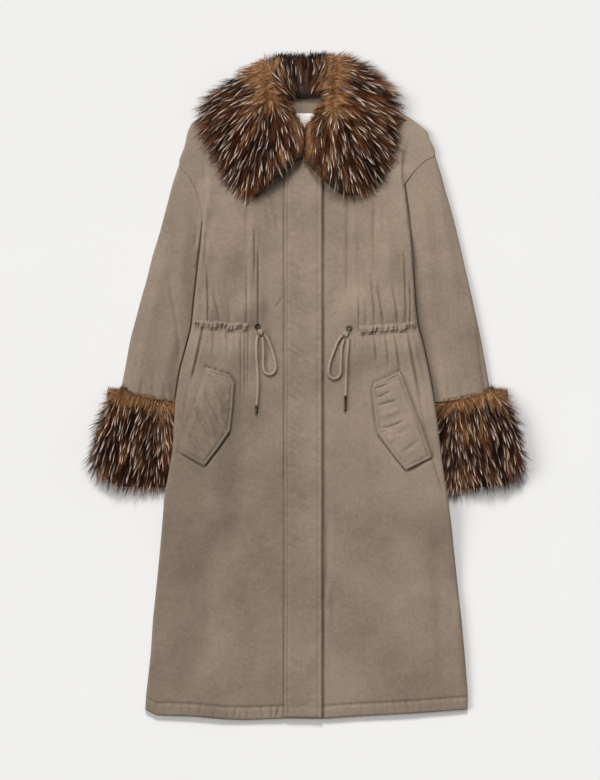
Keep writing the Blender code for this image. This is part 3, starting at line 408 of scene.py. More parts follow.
# Finer folds and creases: an arc with its sideways bow, half its width, its height, and how far it
# leans, which makes it a ridge on one side and a trough on the other
Crease = namedtuple("Crease", "x0 y0 x1 y1 bow width height lean")
CREASES = rows_of(
    Crease,
    # shoulder and chest, wearer's right
    (204.0, 148, 206.6, 172, 0.8, 1.3, -0.0030, 0.3), (206.4, 166, 205.6, 208, 0.6, 1.6, -0.0010, 0.5),
    (206.5, 228, 205.0, 268, -0.8, 1.4, -0.0013, 0.5), (206.0, 262, 207.6, 332, 0.9, 1.3, -0.0032, 0.4),
    (200.5, 284, 203.5, 324, 1.2, 2.8, -0.0018, 0.0), (212.5, 284, 224.0, 328, -1.6, 2.1, -0.0024, 0.3),
    (216.0, 206, 206.0, 252, -3.0, 4.0, -0.0012, 0.0), (228.0, 296, 230.0, 328, 0.6, 1.9, -0.0011, 0.2),
    (236.0, 210, 233.0, 300, 1.0, 7.0, 0.0012, 0.0), (246.2, 256, 246.4, 334, 0.3, 1.5, -0.0017, 0.4),
    (250.8, 206, 251.0, 300, 0.0, 4.0, 0.0014, 0.0), (247.5, 196, 248.5, 256, 0.0, 3.2, -0.0016, 0.0),
    (253.6, 226, 254.0, 280, 0.4, 1.3, -0.0018, 0.5), (257.4, 238, 257.9, 342, 0.2, 1.2, -0.0034, 0.4),
    (262.0, 198, 272.0, 234, 1.0, 2.4, -0.0012, 0.2), (270.0, 192, 279.0, 236, 1.0, 2.4, -0.0013, 0.2),
    (283.0, 293, 273.0, 309, 1.5, 1.5, -0.0016, 0.4), (281.0, 321, 271.0, 311, 1.2, 1.6, -0.0014, 0.3),
    (285.0, 286, 275.0, 279, 0.8, 1.3, -0.0012, 0.3), (278.0, 408, 262.0, 398, 2.0, 1.8, -0.0013, 0.3),
    # shoulder and chest, wearer's left
    (404.6, 144, 404.6, 194, -2.0, 1.3, -0.0032, 0.4),
    (347.5, 192, 347.5, 342, 0.4, 2.8, -0.0026, 0.15), (354.0, 206, 354.0, 318, 0.0, 3.6, 0.0013, 0.0),
    (374.0, 192, 374.5, 288, 0.5, 2.8, -0.0020, 0.1), (384.0, 206, 388.0, 290, 1.0, 6.0, 0.0013, 0.0),
    (369.5, 268, 375.0, 332, 0.5, 1.7, -0.0022, 0.4), (376.0, 274, 385.0, 334, -0.6, 1.7, -0.0028, 0.4),
    (391.0, 280, 398.5, 332, 0.6, 1.8, -0.0024, 0.3), (403.2, 244, 405.2, 334, 0.6, 1.5, -0.0026, 0.4),
    (409.0, 274, 409.4, 334, 0.4, 1.2, -0.0024, 0.4), (358.6, 290, 358.4, 338, 0.0, 1.3, -0.0020, 0.4),
    (365.0, 296, 366.0, 330, 0.4, 1.9, -0.0012, 0.2), (338.5, 287, 327.5, 294, 0.6, 1.3, -0.0018, 0.4),
    (339.0, 311, 329.0, 316, 0.5, 1.5, -0.0014, 0.4), (336.0, 300, 326.0, 304, 0.5, 1.5, -0.0010, 0.3),
    # below the waist, wearer's right
    (203.6, 320, 189.6, 386, 1.0, 1.5, -0.0036, 0.4), (199.5, 330, 187.0, 384, 1.0, 3.2, 0.0015, 0.0),
    (189.0, 376, 181.5, 426, 0.5, 2.0, -0.0010, 0.3), (241.0, 324, 240.6, 408, 0.0, 1.3, -0.0012, 0.4),
    (244.6, 322, 244.2, 402, 0.0, 1.2, -0.0016, 0.4), (248.0, 322, 247.4, 396, 0.0, 1.2, -0.0014, 0.4),
    (214.0, 326, 212.0, 356, 0.5, 1.8, -0.0014, 0.3), (226.0, 326, 228.5, 360, 0.5, 1.8, -0.0014, 0.3),
    (234.0, 326, 234.5, 352, 0.4, 1.6, -0.0011, 0.3),
    # below the waist, wearer's left
    (405.6, 320, 424.0, 412, -2.0, 1.7, -0.0038, 0.5), (410.6, 332, 425.0, 390, -1.2, 3.0, 0.0015, 0.0),
    (392.5, 328, 399.5, 378, 0.8, 1.8, -0.0026, 0.5), (384.0, 328, 388.0, 370, 0.6, 1.7, -0.0020, 0.5),
    (371.5, 326, 376.5, 368, 0.6, 1.7, -0.0024, 0.5), (363.0, 326, 362.0, 358, 0.3, 1.6, -0.0016, 0.5),
    (355.0, 328, 355.4, 352, 0.3, 1.6, -0.0012, 0.5), (412.0, 370, 427.0, 436, -0.6, 1.8, -0.0016, 0.5),
    (429.0, 446, 444.0, 496, -1.0, 1.7, -0.0022, 0.5),
    # skirt
    (159.0, 633, 149.0, 637, 0.0, 1.6, -0.0018, 0.4), (157.0, 661, 147.0, 669, 0.6, 1.4, 0.0014, 0.0),
    (268.0, 540, 266.0, 716, 0.0, 15.0, 0.0022, 0.0), (208.0, 470, 204.0, 690, 4.0, 12.0, -0.0016, 0.0),
    (433.0, 500, 442.0, 706, 2.0, 8.0, -0.0022, 0.0), (456.0, 580, 462.0, 712, 0.0, 4.5, 0.0016, 0.0),
    (336.0, 590, 337.0, 716, 0.0, 11.0, 0.0018, 0.0), (326.0, 510, 326.4, 604, 0.0, 3.6, -0.0026, 0.0),
    (327.4, 576, 328.4, 634, 0.0, 3.4, 0.0018, 0.0), (404.0, 480, 398.0, 640, -3.0, 13.0, -0.0014, 0.0),
)

# Seeded unevenness of the cloth: size of its bumps in pixels, and their height
UNEVEN = ((46.0, 0.0022), (17.0, 0.00075), (8.0, 0.00022))
CREASE_FADE = 0.3           # share of a crease's length over which it fades at each end

LEVELS = np.arange(80.0, 760.0, 0.5)


def blurred(values, reach):
    """Values at even steps, smoothed along their length."""
    spread = np.arange(-4 * reach, 4 * reach + 1)
    weight = np.exp(-0.5 * (spread / reach) ** 2)
    padded = np.pad(values, 4 * reach, mode="reflect", reflect_type="odd")
    return np.convolve(padded, weight / weight.sum(), mode="valid")


EDGES = {
    side: blurred(np.interp(LEVELS, column(BODY, "y"), column(BODY, side)), 7)
    for side in ("left", "right")
}
LIFTS = {
    name: blurred(np.interp(LEVELS, column(LIFT, "y"), column(LIFT, name)), 10)
    for name in ("height", "left_under", "right_under")
}


def edge(y, side):
    """The body's side edge at a height of the front view."""
    return np.interp(y, LEVELS, EDGES[side])


def lift(x, y):
    """Height that the sleeves and cuffs beneath add to the body."""
    height = np.maximum(np.interp(y, LEVELS, LIFTS["height"]), 0.0)
    from_left = x - edge(y, "left") - np.interp(y, LEVELS, LIFTS["left_under"])
    from_right = edge(y, "right") - x - np.interp(y, LEVELS, LIFTS["right_under"])
    inward = np.minimum(from_left, from_right) - LIFT_CLEAR
    return height * (1.0 - smooth(inward / LIFT_BLEND))


def noise(x, y, size, seed):
    """Smooth seeded noise between -1 and 1, with bumps of the given size."""
    grid = np.random.default_rng(seed).uniform(-1.0, 1.0, (64, 64))
    u, v = np.asarray(x) / size, np.asarray(y) / size
    i, j = np.floor(u).astype(int), np.floor(v).astype(int)
    a, b = smooth(u - i), smooth(v - j)
    i, j = i % 64, j % 64
    k, m = (i + 1) % 64, (j + 1) % 64
    low = grid[i, j] * (1.0 - a) + grid[k, j] * a
    high = grid[i, m] * (1.0 - a) + grid[k, m] * a
    return low * (1.0 - b) + high * b


def uneven(x, y, seed):
    """The cloth's own seeded unevenness."""
    total = np.zeros(np.shape(x))
    for place, (size, height) in enumerate(UNEVEN):
        total += height * noise(x + 0.35 * y, y - 0.2 * x, size, seed + place)
    return total


def off_segment(x, y, start, end):
    """Offsets of view points from the nearest point of a straight line between two."""
    run = np.array([end[0] - start[0], end[1] - start[1]], dtype=float)
    along = np.clip(((x - start[0]) * run[0] + (y - start[1]) * run[1]) / (run @ run), 0.0, 1.0)
    return x - start[0] - along * run[0], y - start[1] - along * run[1]


def along_fold(fold, x, y):
    """Places along a fold, as shares of its length, and across it."""
    run = np.array([fold.x1 - fold.x0, fold.y1 - fold.y0])
    length = np.linalg.norm(run)
    run = run / length
    along = ((x - fold.x0) * run[0] + (y - fold.y0) * run[1]) / length
    return along, (x - fold.x0) * run[1] - (y - fold.y0) * run[0]


def creased(x, y, creases):
    """Sum of given ridges and troughs."""
    total = np.zeros(np.shape(x))
    for fold in creases:
        along, across = along_fold(fold, x, y)
        fade = smooth(along / CREASE_FADE) * smooth((1.0 - along) / CREASE_FADE)
        share = (across - 4.0 * fold.bow * along * (1.0 - along)) / fold.width
        profile = (1.0 - fold.lean + 2.3 * fold.lean * share) * np.exp(-share ** 2)
        total += fold.height * fade * profile
    return total


def relief(x, y):
    """Main soft folds of the fronts."""
    total = np.zeros(np.shape(x))
    for fold in FOLDS:
        along, across = along_fold(fold, x, y)
        swell = smooth(np.minimum(along, 1.0 - along) * 4.0 + 0.5)
        total += fold.height * swell * np.exp(-(across / fold.width) ** 2)
    return total


def hem_distance(x, y, rise=0.0):
    """Distance, in metres, of view points from a hem that stops so far above the coat's own."""
    return (HEM_Y + hem_drop(x, HEM_Y) - rise - y) * PIXEL


def hem_groove(x, y):
    """The shallow trough along the hem's stitching."""
    line = HEM_Y + hem_drop(x, HEM_Y) - HEM_STITCH
    return -HEM_GROOVE * ridge(y - line, HEM_GROOVE_WIDTH)


# Meshes

SHARP_ANGLE = 58.0


def link_object(name, data):
    """A new object in the scene."""
    thing = bpy.data.objects.new(name, data)
    bpy.context.scene.collection.objects.link(thing)
    return thing


def add_piece(name, points, blocks, surface, slot, *nodes):
    """Make closed meshes from points and blocks of faces, facing out, and fasten them to the frame."""
    points = np.asarray(points, dtype=np.float64).reshape(-1, 3)
    blocks = [np.asarray(block, dtype=np.int32) for block in blocks if len(block)]
    volume = 0.0
    for block in blocks:
        corner = points[block[:, 0]]
        for place in range(1, block.shape[1] - 1):
            across = np.cross(points[block[:, place]], points[block[:, place + 1]])
            volume += np.einsum("ij,ij->", corner, across)
    if volume < 0.0:
        blocks = [block[:, ::-1] for block in blocks]
    corners = np.concatenate([block.ravel() for block in blocks]).astype(np.int32)
    sizes = np.concatenate([np.full(len(block), block.shape[1]) for block in blocks])
    starts = np.concatenate([[0], np.cumsum(sizes)[:-1]]).astype(np.int32)
    mesh = bpy.data.meshes.new(name)
    mesh.vertices.add(len(points))
    mesh.vertices.foreach_set("co", points.astype(np.float32).ravel())
    mesh.loops.add(len(corners))
    mesh.loops.foreach_set("vertex_index", corners)
    mesh.polygons.add(len(starts))
    mesh.polygons.foreach_set("loop_start", starts)
    mesh.update(calc_edges=True)
    mesh.shade_smooth()
    mesh.set_sharp_from_angle(angle=math.radians(SHARP_ANGLE))
    mesh.materials.append(surface)
    piece = link_object(name, mesh)
    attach(piece, "root")
    if nodes:
        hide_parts(*nodes)
    return piece


def grid_faces(rows, columns, start=0):
    """Four-cornered faces of a grid of points."""
    index = start + np.arange(rows * columns).reshape(rows, columns)
    corners = (index[:-1, :-1], index[:-1, 1:], index[1:, 1:], index[1:, :-1])
    return np.stack([corner.ravel() for corner in corners], axis=-1)


def strip_between(upper, lower):
    """Triangles between two lines of points with different counts."""
    faces = []
    a = b = 0
    last_a, last_b = len(upper) - 1, len(lower) - 1
    while a < last_a or b < last_b:
        if b == last_b or (a < last_a and (a + 1) * last_b <= (b + 1) * last_a):
            faces.append((upper[a + 1], upper[a], lower[b]))
            a += 1
        else:
            faces.append((lower[b], lower[b + 1], upper[a]))
            b += 1
    return np.array(faces)


def wall(over, under):
    """Points and faces of a wall: a fine outer grid over a coarser one with as many rows."""
    rows, columns = over.shape[:2]
    few = under.shape[1]
    below = rows * columns
    top = np.arange(below).reshape(rows, columns)
    low = below + np.arange(rows * few).reshape(rows, few)
    left = np.stack([top[:-1, 0], top[1:, 0], low[1:, 0], low[:-1, 0]], axis=-1)
    right = np.stack([top[1:, -1], top[:-1, -1], low[:-1, -1], low[1:, -1]], axis=-1)
    blocks = [
        grid_faces(rows, columns),
        grid_faces(rows, few, below)[:, ::-1],
        left,
        right,
        strip_between(top[0], low[0]),
        strip_between(top[-1], low[-1])[:, ::-1],
    ]
    return np.concatenate([over.reshape(-1, 3), under.reshape(-1, 3)]), blocks


def ring_faces(rows, count, start=0, closed=False):
    """Faces between rings of points; if closed, also between the last ring and the first."""
    index = start + np.arange(rows * count).reshape(rows, count)
    if closed:
        index = np.concatenate([index, index[:1]])
    after = np.roll(index, -1, axis=1)
    corners = (index[:-1], after[:-1], after[1:], index[1:])
    return np.stack([corner.ravel() for corner in corners], axis=-1)


def tube(outer, inner):
    """Points and faces of a tube with a wall, from matching rings."""
    rows, count = outer.shape[:2]
    below = rows * count
    ends = []
    for row in (0, rows - 1):
        ring = row * count + np.arange(count)
        after = np.roll(ring, -1)
        faces = np.stack([after, ring, ring + below, after + below], axis=-1)
        ends.append(faces if row == 0 else faces[:, ::-1])
    blocks = [ring_faces(rows, count), ring_faces(rows, count, below)[:, ::-1]] + ends
    return np.concatenate([outer.reshape(-1, 3), inner.reshape(-1, 3)]), blocks


def solid(rings):
    """Points and faces of closed rings with flat ends, each end closed to its middle."""
    rows, count = rings.shape[:2]
    points = np.concatenate([rings.reshape(-1, 3), rings[[0, -1]].mean(axis=1)])
    first = np.arange(count)
    last = (rows - 1) * count + first
    low = np.stack([np.roll(first, -1), first, np.full(count, rows * count)], axis=-1)
    high = np.stack([last, np.roll(last, -1), np.full(count, rows * count + 1)], axis=-1)
    return points, [ring_faces(rows, count), low, high]


def add_wall(name, x, y, over, under, surface, slot, node, columns=None):
    """A piece of cloth between two heights over a grid of view points, with fewer columns below."""
    few = np.arange(x.shape[1])
    if columns is not None:
        few = np.unique(np.linspace(0, x.shape[1] - 1, columns).astype(int))
    mesh = wall(metres(x, y, over), metres(x[:, few], y[:, few], under[:, few]))
    return add_piece(name, *mesh, surface, slot, node)


def surface_of(*pieces):
    """One tree of faces of some pieces, for seating other things on them."""
    points, faces = [], []
    for piece in pieces:
        start = len(points)
        points += [vert.co.copy() for vert in piece.data.vertices]
        faces += [[start + index for index in polygon.vertices] for polygon in piece.data.polygons]
    return BVHTree.FromPolygons(points, faces)


def height_on(tree, x, y, otherwise):
    """Height of a tree of faces, met from above, at places of the front view."""
    places = metres(np.asarray(x, dtype=float), np.asarray(y, dtype=float), 1.0)
    heights = []
    for place in places.reshape(-1, 3):
        hit = tree.ray_cast(Vector(place), Vector((0.0, 0.0, -1.0)))[0]
        heights.append(otherwise if hit is None else hit.z)
    return np.array(heights).reshape(places.shape[:-1])


# Surfaces

def nodes_of(name):
    """A new material with its node tree and shader."""
    surface = bpy.data.materials.new(name)
    surface.use_nodes = True
    tree = surface.node_tree
    return surface, tree, tree.nodes["Principled BSDF"]


def set_inputs(node, **values):
    """Set some of a node's inputs; underscores in their names stand for spaces."""
    for key, value in values.items():
        node.inputs[key.replace("_", " ")].default_value = value


def add_node(tree, kind, **values):
    """A node with some of its inputs set."""
    node = tree.nodes.new(kind)
    set_inputs(node, **values)
    return node


def places_of(tree):
    """Places on the piece itself."""
    return tree.nodes.new("ShaderNodeTexCoord").outputs["Object"]


def noise_of(tree, places, scale, detail, roughness):
    """A value of noise at places."""
    node = add_node(tree, "ShaderNodeTexNoise", Scale=scale, Detail=detail, Roughness=roughness)
    tree.links.new(places, node.inputs["Vector"])
    return node.outputs["Fac"]


def sum_of(tree, operation, *parts):
    """A value made from numbers and other values."""
    node = tree.nodes.new("ShaderNodeMath")
    node.operation = operation
    for socket, part in zip(node.inputs, parts):
        if isinstance(part, float):
            socket.default_value = part
        else:
            tree.links.new(part, socket)
    return node.outputs[0]


def mapped(tree, source, span):
    """A value mapped from one span to another."""
    names = ("From_Min", "From_Max", "To_Min", "To_Max")
    node = add_node(tree, "ShaderNodeMapRange", **dict(zip(names, span)))
    tree.links.new(source, node.inputs["Value"])
    return node.outputs["Result"]


def scaled(tree, colour, share):
    """A colour made paler or darker by a value."""
    node = tree.nodes.new("ShaderNodeVectorMath")
    node.operation = "SCALE"
    tree.links.new(colour, node.inputs[0])
    tree.links.new(share, node.inputs["Scale"])
    return node.outputs["Vector"]


def roughen(tree, shader, height, strength, distance):
    """Fine relief of a surface from a value."""
    node = add_node(tree, "ShaderNodeBump", Strength=strength, Distance=distance)
    tree.links.new(height, node.inputs["Height"])
    tree.links.new(node.outputs["Normal"], shader.inputs["Normal"])


def ramp_of(tree, source, stops):
    """A value turned into colours by a ramp with the given stops."""
    ramp = tree.nodes.new("ShaderNodeValToRGB")
    band = ramp.color_ramp
    while len(band.elements) < len(stops):
        band.elements.new(0.5)
    for element, (place, colour) in zip(band.elements, stops):
        element.position = place
        element.color = (*colour, 1.0)
    tree.links.new(source, ramp.inputs["Fac"])
    return ramp.outputs["Color"]


# Painted light: the cloth's colour is made paler up the coat towards the chest, where the light falls more:
# between which heights up the coat, and by how much
PAINTED_CHEST_LIGHT = (-0.25, 0.30, 0.93, 1.14)
# Painted shade: the cloth's colour is made darker towards the wearer's right side: between which places
# across the coat, and by how much
PAINTED_SIDE_SHADE = (-0.28, -0.08, 0.88, 1.0)
CLOTH_ROUGHNESS = (0.0, 1.0, 0.99, 0.84)
# Scale, detail and roughness of the slow colour changes, the slubs and the fibres
CLOTH_GRAINS = ((7.0, 4.0, 0.6), (160.0, 3.0, 0.7), (900.0, 2.0, 0.6))


def cloth_surface(name, dark, light, weave=430.0, bump=0.35):
    """Matt cotton twill: slow colour changes, slubs, a diagonal weave and fine fibres, with painted light
    paler towards the chest and painted shade towards the wearer's right side.
    """
    surface, tree, shader = nodes_of(name)
    link = tree.links.new
    places = places_of(tree)
    slow, slub, fibre = (noise_of(tree, places, *grain) for grain in CLOTH_GRAINS)
    colour = ramp_of(tree, sum_of(tree, "MULTIPLY_ADD", slub, 0.58, slow), ((0.57, dark), (1.0, light)))
    spot = tree.nodes.new("ShaderNodeSeparateXYZ")
    link(places, spot.inputs[0])
    # Painted light and shade: colour paler up towards the chest, darker towards the wearer's right side
    for axis, span in (("Y", PAINTED_CHEST_LIGHT), ("X", PAINTED_SIDE_SHADE)):
        colour = scaled(tree, colour, mapped(tree, spot.outputs[axis], span))
    link(colour, shader.inputs["Base Color"])
    twill = add_node(tree, "ShaderNodeTexWave", Scale=weave, Distortion=0.6, Detail=1.0)
    twill.bands_direction = "DIAGONAL"
    link(places, twill.inputs["Vector"])
    threads = sum_of(tree, "ADD", twill.outputs["Fac"], fibre)
    roughen(tree, shader, sum_of(tree, "MULTIPLY_ADD", slub, 2.0, threads), bump, 0.0004)
    link(mapped(tree, slub, CLOTH_ROUGHNESS), shader.inputs["Roughness"])
    set_inputs(shader, Specular_IOR_Level=0.2, Sheen_Weight=0.10, Sheen_Roughness=0.5)
    return surface


def fur_surface():
    """Hair whose colour is carried by each strand, a little glossy."""
    surface, tree, shader = nodes_of("fur_hair")
    tint = tree.nodes.new("ShaderNodeVertexColor")
    tint.layer_name = "tint"
    tree.links.new(tint.outputs["Color"], shader.inputs["Base Color"])
    set_inputs(shader, Roughness=0.55, Specular_IOR_Level=0.35)
    return surface


def pelt_surface():
    """Dense dark underfur."""
    surface, tree, shader = nodes_of("fur_pelt")
    tuft = noise_of(tree, places_of(tree), 220.0, 4.0, 0.7)
    colours = ramp_of(tree, tuft, ((0.35, (0.020, 0.011, 0.007)), (0.75, (0.085, 0.045, 0.024))))
    tree.links.new(colours, shader.inputs["Base Color"])
    roughen(tree, shader, tuft, 0.9, 0.002)
    set_inputs(shader, Roughness=0.9)
    return surface


def metal_surface():
    """Dark bronze with a faintly worn polish."""
    surface, tree, shader = nodes_of("dark_bronze")
    wear = noise_of(tree, places_of(tree), 450.0, 3.0, 0.6)
    colours = ramp_of(tree, wear, ((0.35, (0.055, 0.042, 0.030)), (0.75, (0.16, 0.125, 0.090))))
    gloss = ramp_of(tree, wear, ((0.3, (0.26, 0.26, 0.26)), (0.8, (0.5, 0.5, 0.5))))
    tree.links.new(colours, shader.inputs["Base Color"])
    tree.links.new(gloss, shader.inputs["Roughness"])
    set_inputs(shader, Metallic=1.0)
    return surface


def floor_surface():
    """Pale paper backdrop."""
    surface, tree, shader = nodes_of("pale_floor")
    grain = noise_of(tree, places_of(tree), 3.0, 2.0, 0.5)
    colours = ramp_of(tree, grain, ((0.2, (0.80, 0.80, 0.80)), (0.8, (0.82, 0.82, 0.82))))
    tree.links.new(colours, shader.inputs["Base Color"])
    set_inputs(shader, Roughness=0.95, Specular_IOR_Level=0.1)
    return surface


# Cloth

def between_keys(keys, steps):
    """Rows on a smooth curve through key rows, with so many steps between each two."""
    keys = np.array(keys, dtype=float)
    padded = np.concatenate([2 * keys[:1] - keys[1:2], keys, 2 * keys[-1:] - keys[-2:-1]])
    t = np.arange(steps)[:, None] / steps
    rows = []
    for before, start, end, after in zip(padded, padded[1:], padded[2:], padded[3:]):
        bend = 2 * before - 5 * start + 4 * end - after
        twist = -before + 3 * start - 3 * end + after
        rows.append(0.5 * (2 * start + (end - before) * t + bend * t ** 2 + twist * t ** 3))
    return np.concatenate(rows + [keys[-1:]])


BODY_LEVELS = np.concatenate([
    np.arange(711.0, 690.0, -1.0),
    np.arange(690.0, 480.0, -3.0),
    np.arange(480.0, 366.0, -2.0),
    np.arange(366.0, 296.0, -1.0),
    np.arange(296.0, 224.0, -2.0),
])
RIM_PLACES = np.array([0.0, 0.0004, 0.0012, 0.0024, 0.0038, 0.0055, 0.0075])
RIM_ROUND = 0.0055
BACK_HOLLOW = 0.002         # greatest depth of the folds under the back
Trough = namedtuple("Trough", "width depth")
FLAP_TROUGH = Trough(1.5, 0.0034)
EYELET_HOLE = Trough(1.7, 0.0050)
PLACKET_TROUGHS = ((323.2, 1.0, 0.0046), (284.3, 0.9, 0.0024))
COLLAR_TIP_Y = 168.0
FOLD_GAIN = 1.6
DEEPEST_RELIEF = -0.0054
STEP_DEPTH = 0.0044
STEP_REACH = 9.0
SEAM_ROUND = 0.0016
DEEPEST_FOLD = -0.0046
FRONT_SEED = 21
GATHER_SEED = 11
HEM_SEED = 12
PLACKET_SEED = 75
BACK_SEED = 51
MIRROR_X = 306.0            # the back's folds mirror those of the fronts
FRONT_COLUMNS = {"right": 128, "left": 150}
UNDER_COLUMNS = 14
BACK_COLUMNS = 60
ARMHOLE_MIDDLE_Y = {"right": (223.0, 186.0), "left": (185.0, 176.0)}


def gather_creases():
    """Small folds that spread from the drawstring channels, uneven in length, depth and spacing."""
    rng = np.random.default_rng(GATHER_SEED)
    folds = []
    for strip in CASINGS.values():
        inner_first = strip is CASINGS["left"]
        place = 0.02
        while place < 0.99:
            x = strip.x0 + (strip.x1 - strip.x0) * place
            y = strip.y0 + (strip.y1 - strip.y0) * place
            near_side = 1.0 - place if not inner_first else place
            for way in (-1.0, 1.0):
                reach = rng.uniform(10.0, 30.0) + 16.0 * near_side * rng.random()
                drift = rng.uniform(-4.0, 4.0)
                height = rng.choice((-1.0, 1.0, 1.0)) * rng.uniform(0.0005, 0.0013)
                width = rng.uniform(1.4, 2.4)
                folds.append(Crease(x, y + way * 1.0, x + drift, y + way * reach, rng.uniform(-1.5, 1.5),
                                    width, height, 0.2))
            place += rng.uniform(0.05, 0.12)
    return folds


GATHERS = tuple(gather_creases())


def hem_puckers():
    """Short slanting puckers between the hem's stitching and its edge."""
    rng = np.random.default_rng(HEM_SEED)
    folds = []
    x = 150.0
    while x < 466.0:
        y = HEM_Y + float(hem_drop(x, HEM_Y))
        slant = rng.uniform(2.0, 6.0) if x > 300.0 else rng.uniform(-5.0, 5.0)
        strength = 1.8 if 384.0 < x < 424.0 or 222.0 < x < 284.0 else 0.9
        folds.append(Crease(x, y - 15.0, x + slant, y - 0.5, 0.3, rng.uniform(1.1, 1.7),
                            -strength * rng.uniform(0.0007, 0.0020), 0.45))
        x += rng.uniform(5.0, 14.0)
    return folds


PUCKERS = tuple(hem_puckers())


def deepened(fold):
    """A crease, the deeper the longer it is."""
    length = math.hypot(fold.x1 - fold.x0, fold.y1 - fold.y0)
    return fold._replace(height=fold.height * (0.9 + 0.65 * min(max((length - 16.0) / 28.0, 0.0), 1.0)))


LONG_CREASES = tuple(deepened(fold) for fold in CREASES)


def front_rows(side):
    """Ends of the rows of one front, from the hem to the shoulder: outer x, y, then inner x, y."""
    middle = CENTRE_FRONT if side == "right" else CENTRE_FRONT + CENTRE_GAP
    seam = "left" if side == "right" else "right"
    levels = BODY_LEVELS
    if side == "left":
        levels = np.concatenate([levels, np.arange(224.0, 186.0, -2.0)])
    outer = edge(levels, seam)
    rows = np.stack([outer, levels, np.full(len(levels), middle), levels], axis=-1)
    low, high = ARMHOLE_MIDDLE_Y[side]
    keys = [(float(edge(low, seam)), low, middle, low)]
    for step in ARMHOLE_STEPS:
        keys.append((*armhole(side, step), middle, low + (high - low) * step))
    keys += [tuple(yoke) for yoke in YOKES[side]]
    return np.concatenate([rows, between_keys(keys, 8)])


def across_rows(ends, share):
    """Points on rows between their two ends, at shares of the way."""
    share = share[..., None]
    return ends[:, None, :2] * (1.0 - share) + ends[:, None, 2:] * share


def spread_rows(ends, count):
    """Points along rows, close together at the outer rim, and their distance from that rim."""
    length = np.linalg.norm(ends[:, None, 2:] - ends[:, None, :2], axis=-1) * PIXEL
    even = np.linspace(0.0, 1.0, count - len(RIM_PLACES) + 1)[1:]
    rim = np.broadcast_to(RIM_PLACES, (len(ends), len(RIM_PLACES)))
    distance = np.concatenate([rim, RIM_PLACES[-1] + (length - RIM_PLACES[-1]) * even], axis=1)
    return across_rows(ends, distance / length), distance


def sunk_lines(x, y):
    """Troughs along the flaps' free edges and the placket's long edges, and the eyelets' holes."""
    total = np.zeros(np.shape(x))
    for place, width, depth in PLACKET_TROUGHS:
        total = total - depth * ridge(x - place, width)
    for rows in FLAPS.values():
        free = [(row.free_x, row.free_y) for row in rows]
        around = [(rows[0].sewn_x, rows[0].sewn_y)] + free + [(rows[-1].sewn_x, rows[-1].sewn_y)]
        away = line_distance(x, y, around, closed=False)
        total = total - FLAP_TROUGH.depth * ridge(away, FLAP_TROUGH.width)
    for cord in CORDS.values():
        away = np.hypot(x - cord.eyelet[0], y - cord.eyelet[1])
        total = total - EYELET_HOLE.depth * ridge(away, EYELET_HOLE.width)
    return total * smooth((y - COLLAR_TIP_Y) / 14.0)


def front_relief(x, y, seed):
    """All folds, creases and unevenness of a front."""
    total = FOLD_GAIN * relief(x, y) + hem_groove(x, y) + sunk_lines(x, y) + uneven(x, y, seed)
    return np.maximum(total + creased(x, y, LONG_CREASES + GATHERS + PUCKERS), DEEPEST_RELIEF)


# Edge of the chest that lies over the shoulder, from the collar to the underarm
BODY_FOLDS = {
    "right": ((203.5, 146), (206.2, 168), (207.0, 190), (204.6, 212), (202.6, 227)),
    "left": ((408.0, 136), (404.4, 160), (405.0, 185), (405.6, 190)),
}


def seam_share(points, side):
    """How far the outer ends of rows lie on the armhole seam, from 0 to 1."""
    seam = ARMHOLES[side]
    y = points[:, 1]
    return smooth((seam.y0 - y) / 8.0) * smooth((y - seam.y1 + 3.0) / 5.0)


def step_fold(x, y, side):
    """Drop of the shoulder beside the chest's edge, deepest at the edge itself."""
    line = np.array(BODY_FOLDS[side], dtype=float)
    at = np.interp(y, line[:, 1], line[:, 0])
    out = at - x if side == "right" else x - at
    fade = smooth((y - line[0, 1]) / 22.0) * smooth((line[-1, 1] + 4.0 - y) / 6.0)
    return STEP_DEPTH * fade * smooth(out / 1.4 + 0.5) * np.exp(-np.maximum(out, 0.0) / STEP_REACH)


def build_front(side):
    """One front, lying on the back, its rim rounded towards the side seam."""
    points, distance = spread_rows(front_rows(side), FRONT_COLUMNS[side])
    points[..., 1] += hem_drop(points[..., 0], points[..., 1])
    x, y = points[..., 0], points[..., 1]
    sewn = seam_share(points[:, 0], side)[:, None]
    rim = rounded(np.minimum(distance, hem_distance(x, y)), RIM_ROUND)
    rim = rim + (rounded(distance + 0.0003, SEAM_ROUND) - rim) * sewn
    under = FRONT_BASE + lift(x, y)
    folds = front_relief(x, y, FRONT_SEED) - step_fold(x, y, side)
    over = under + WALL * (EDGE_SHARE + (1.0 - EDGE_SHARE) * rim) + np.maximum(folds, DEEPEST_FOLD) * rim
    name = "front_" + side
    return add_wall("parka_" + name, x, y, over, under, shell, "shell", name, UNDER_COLUMNS)


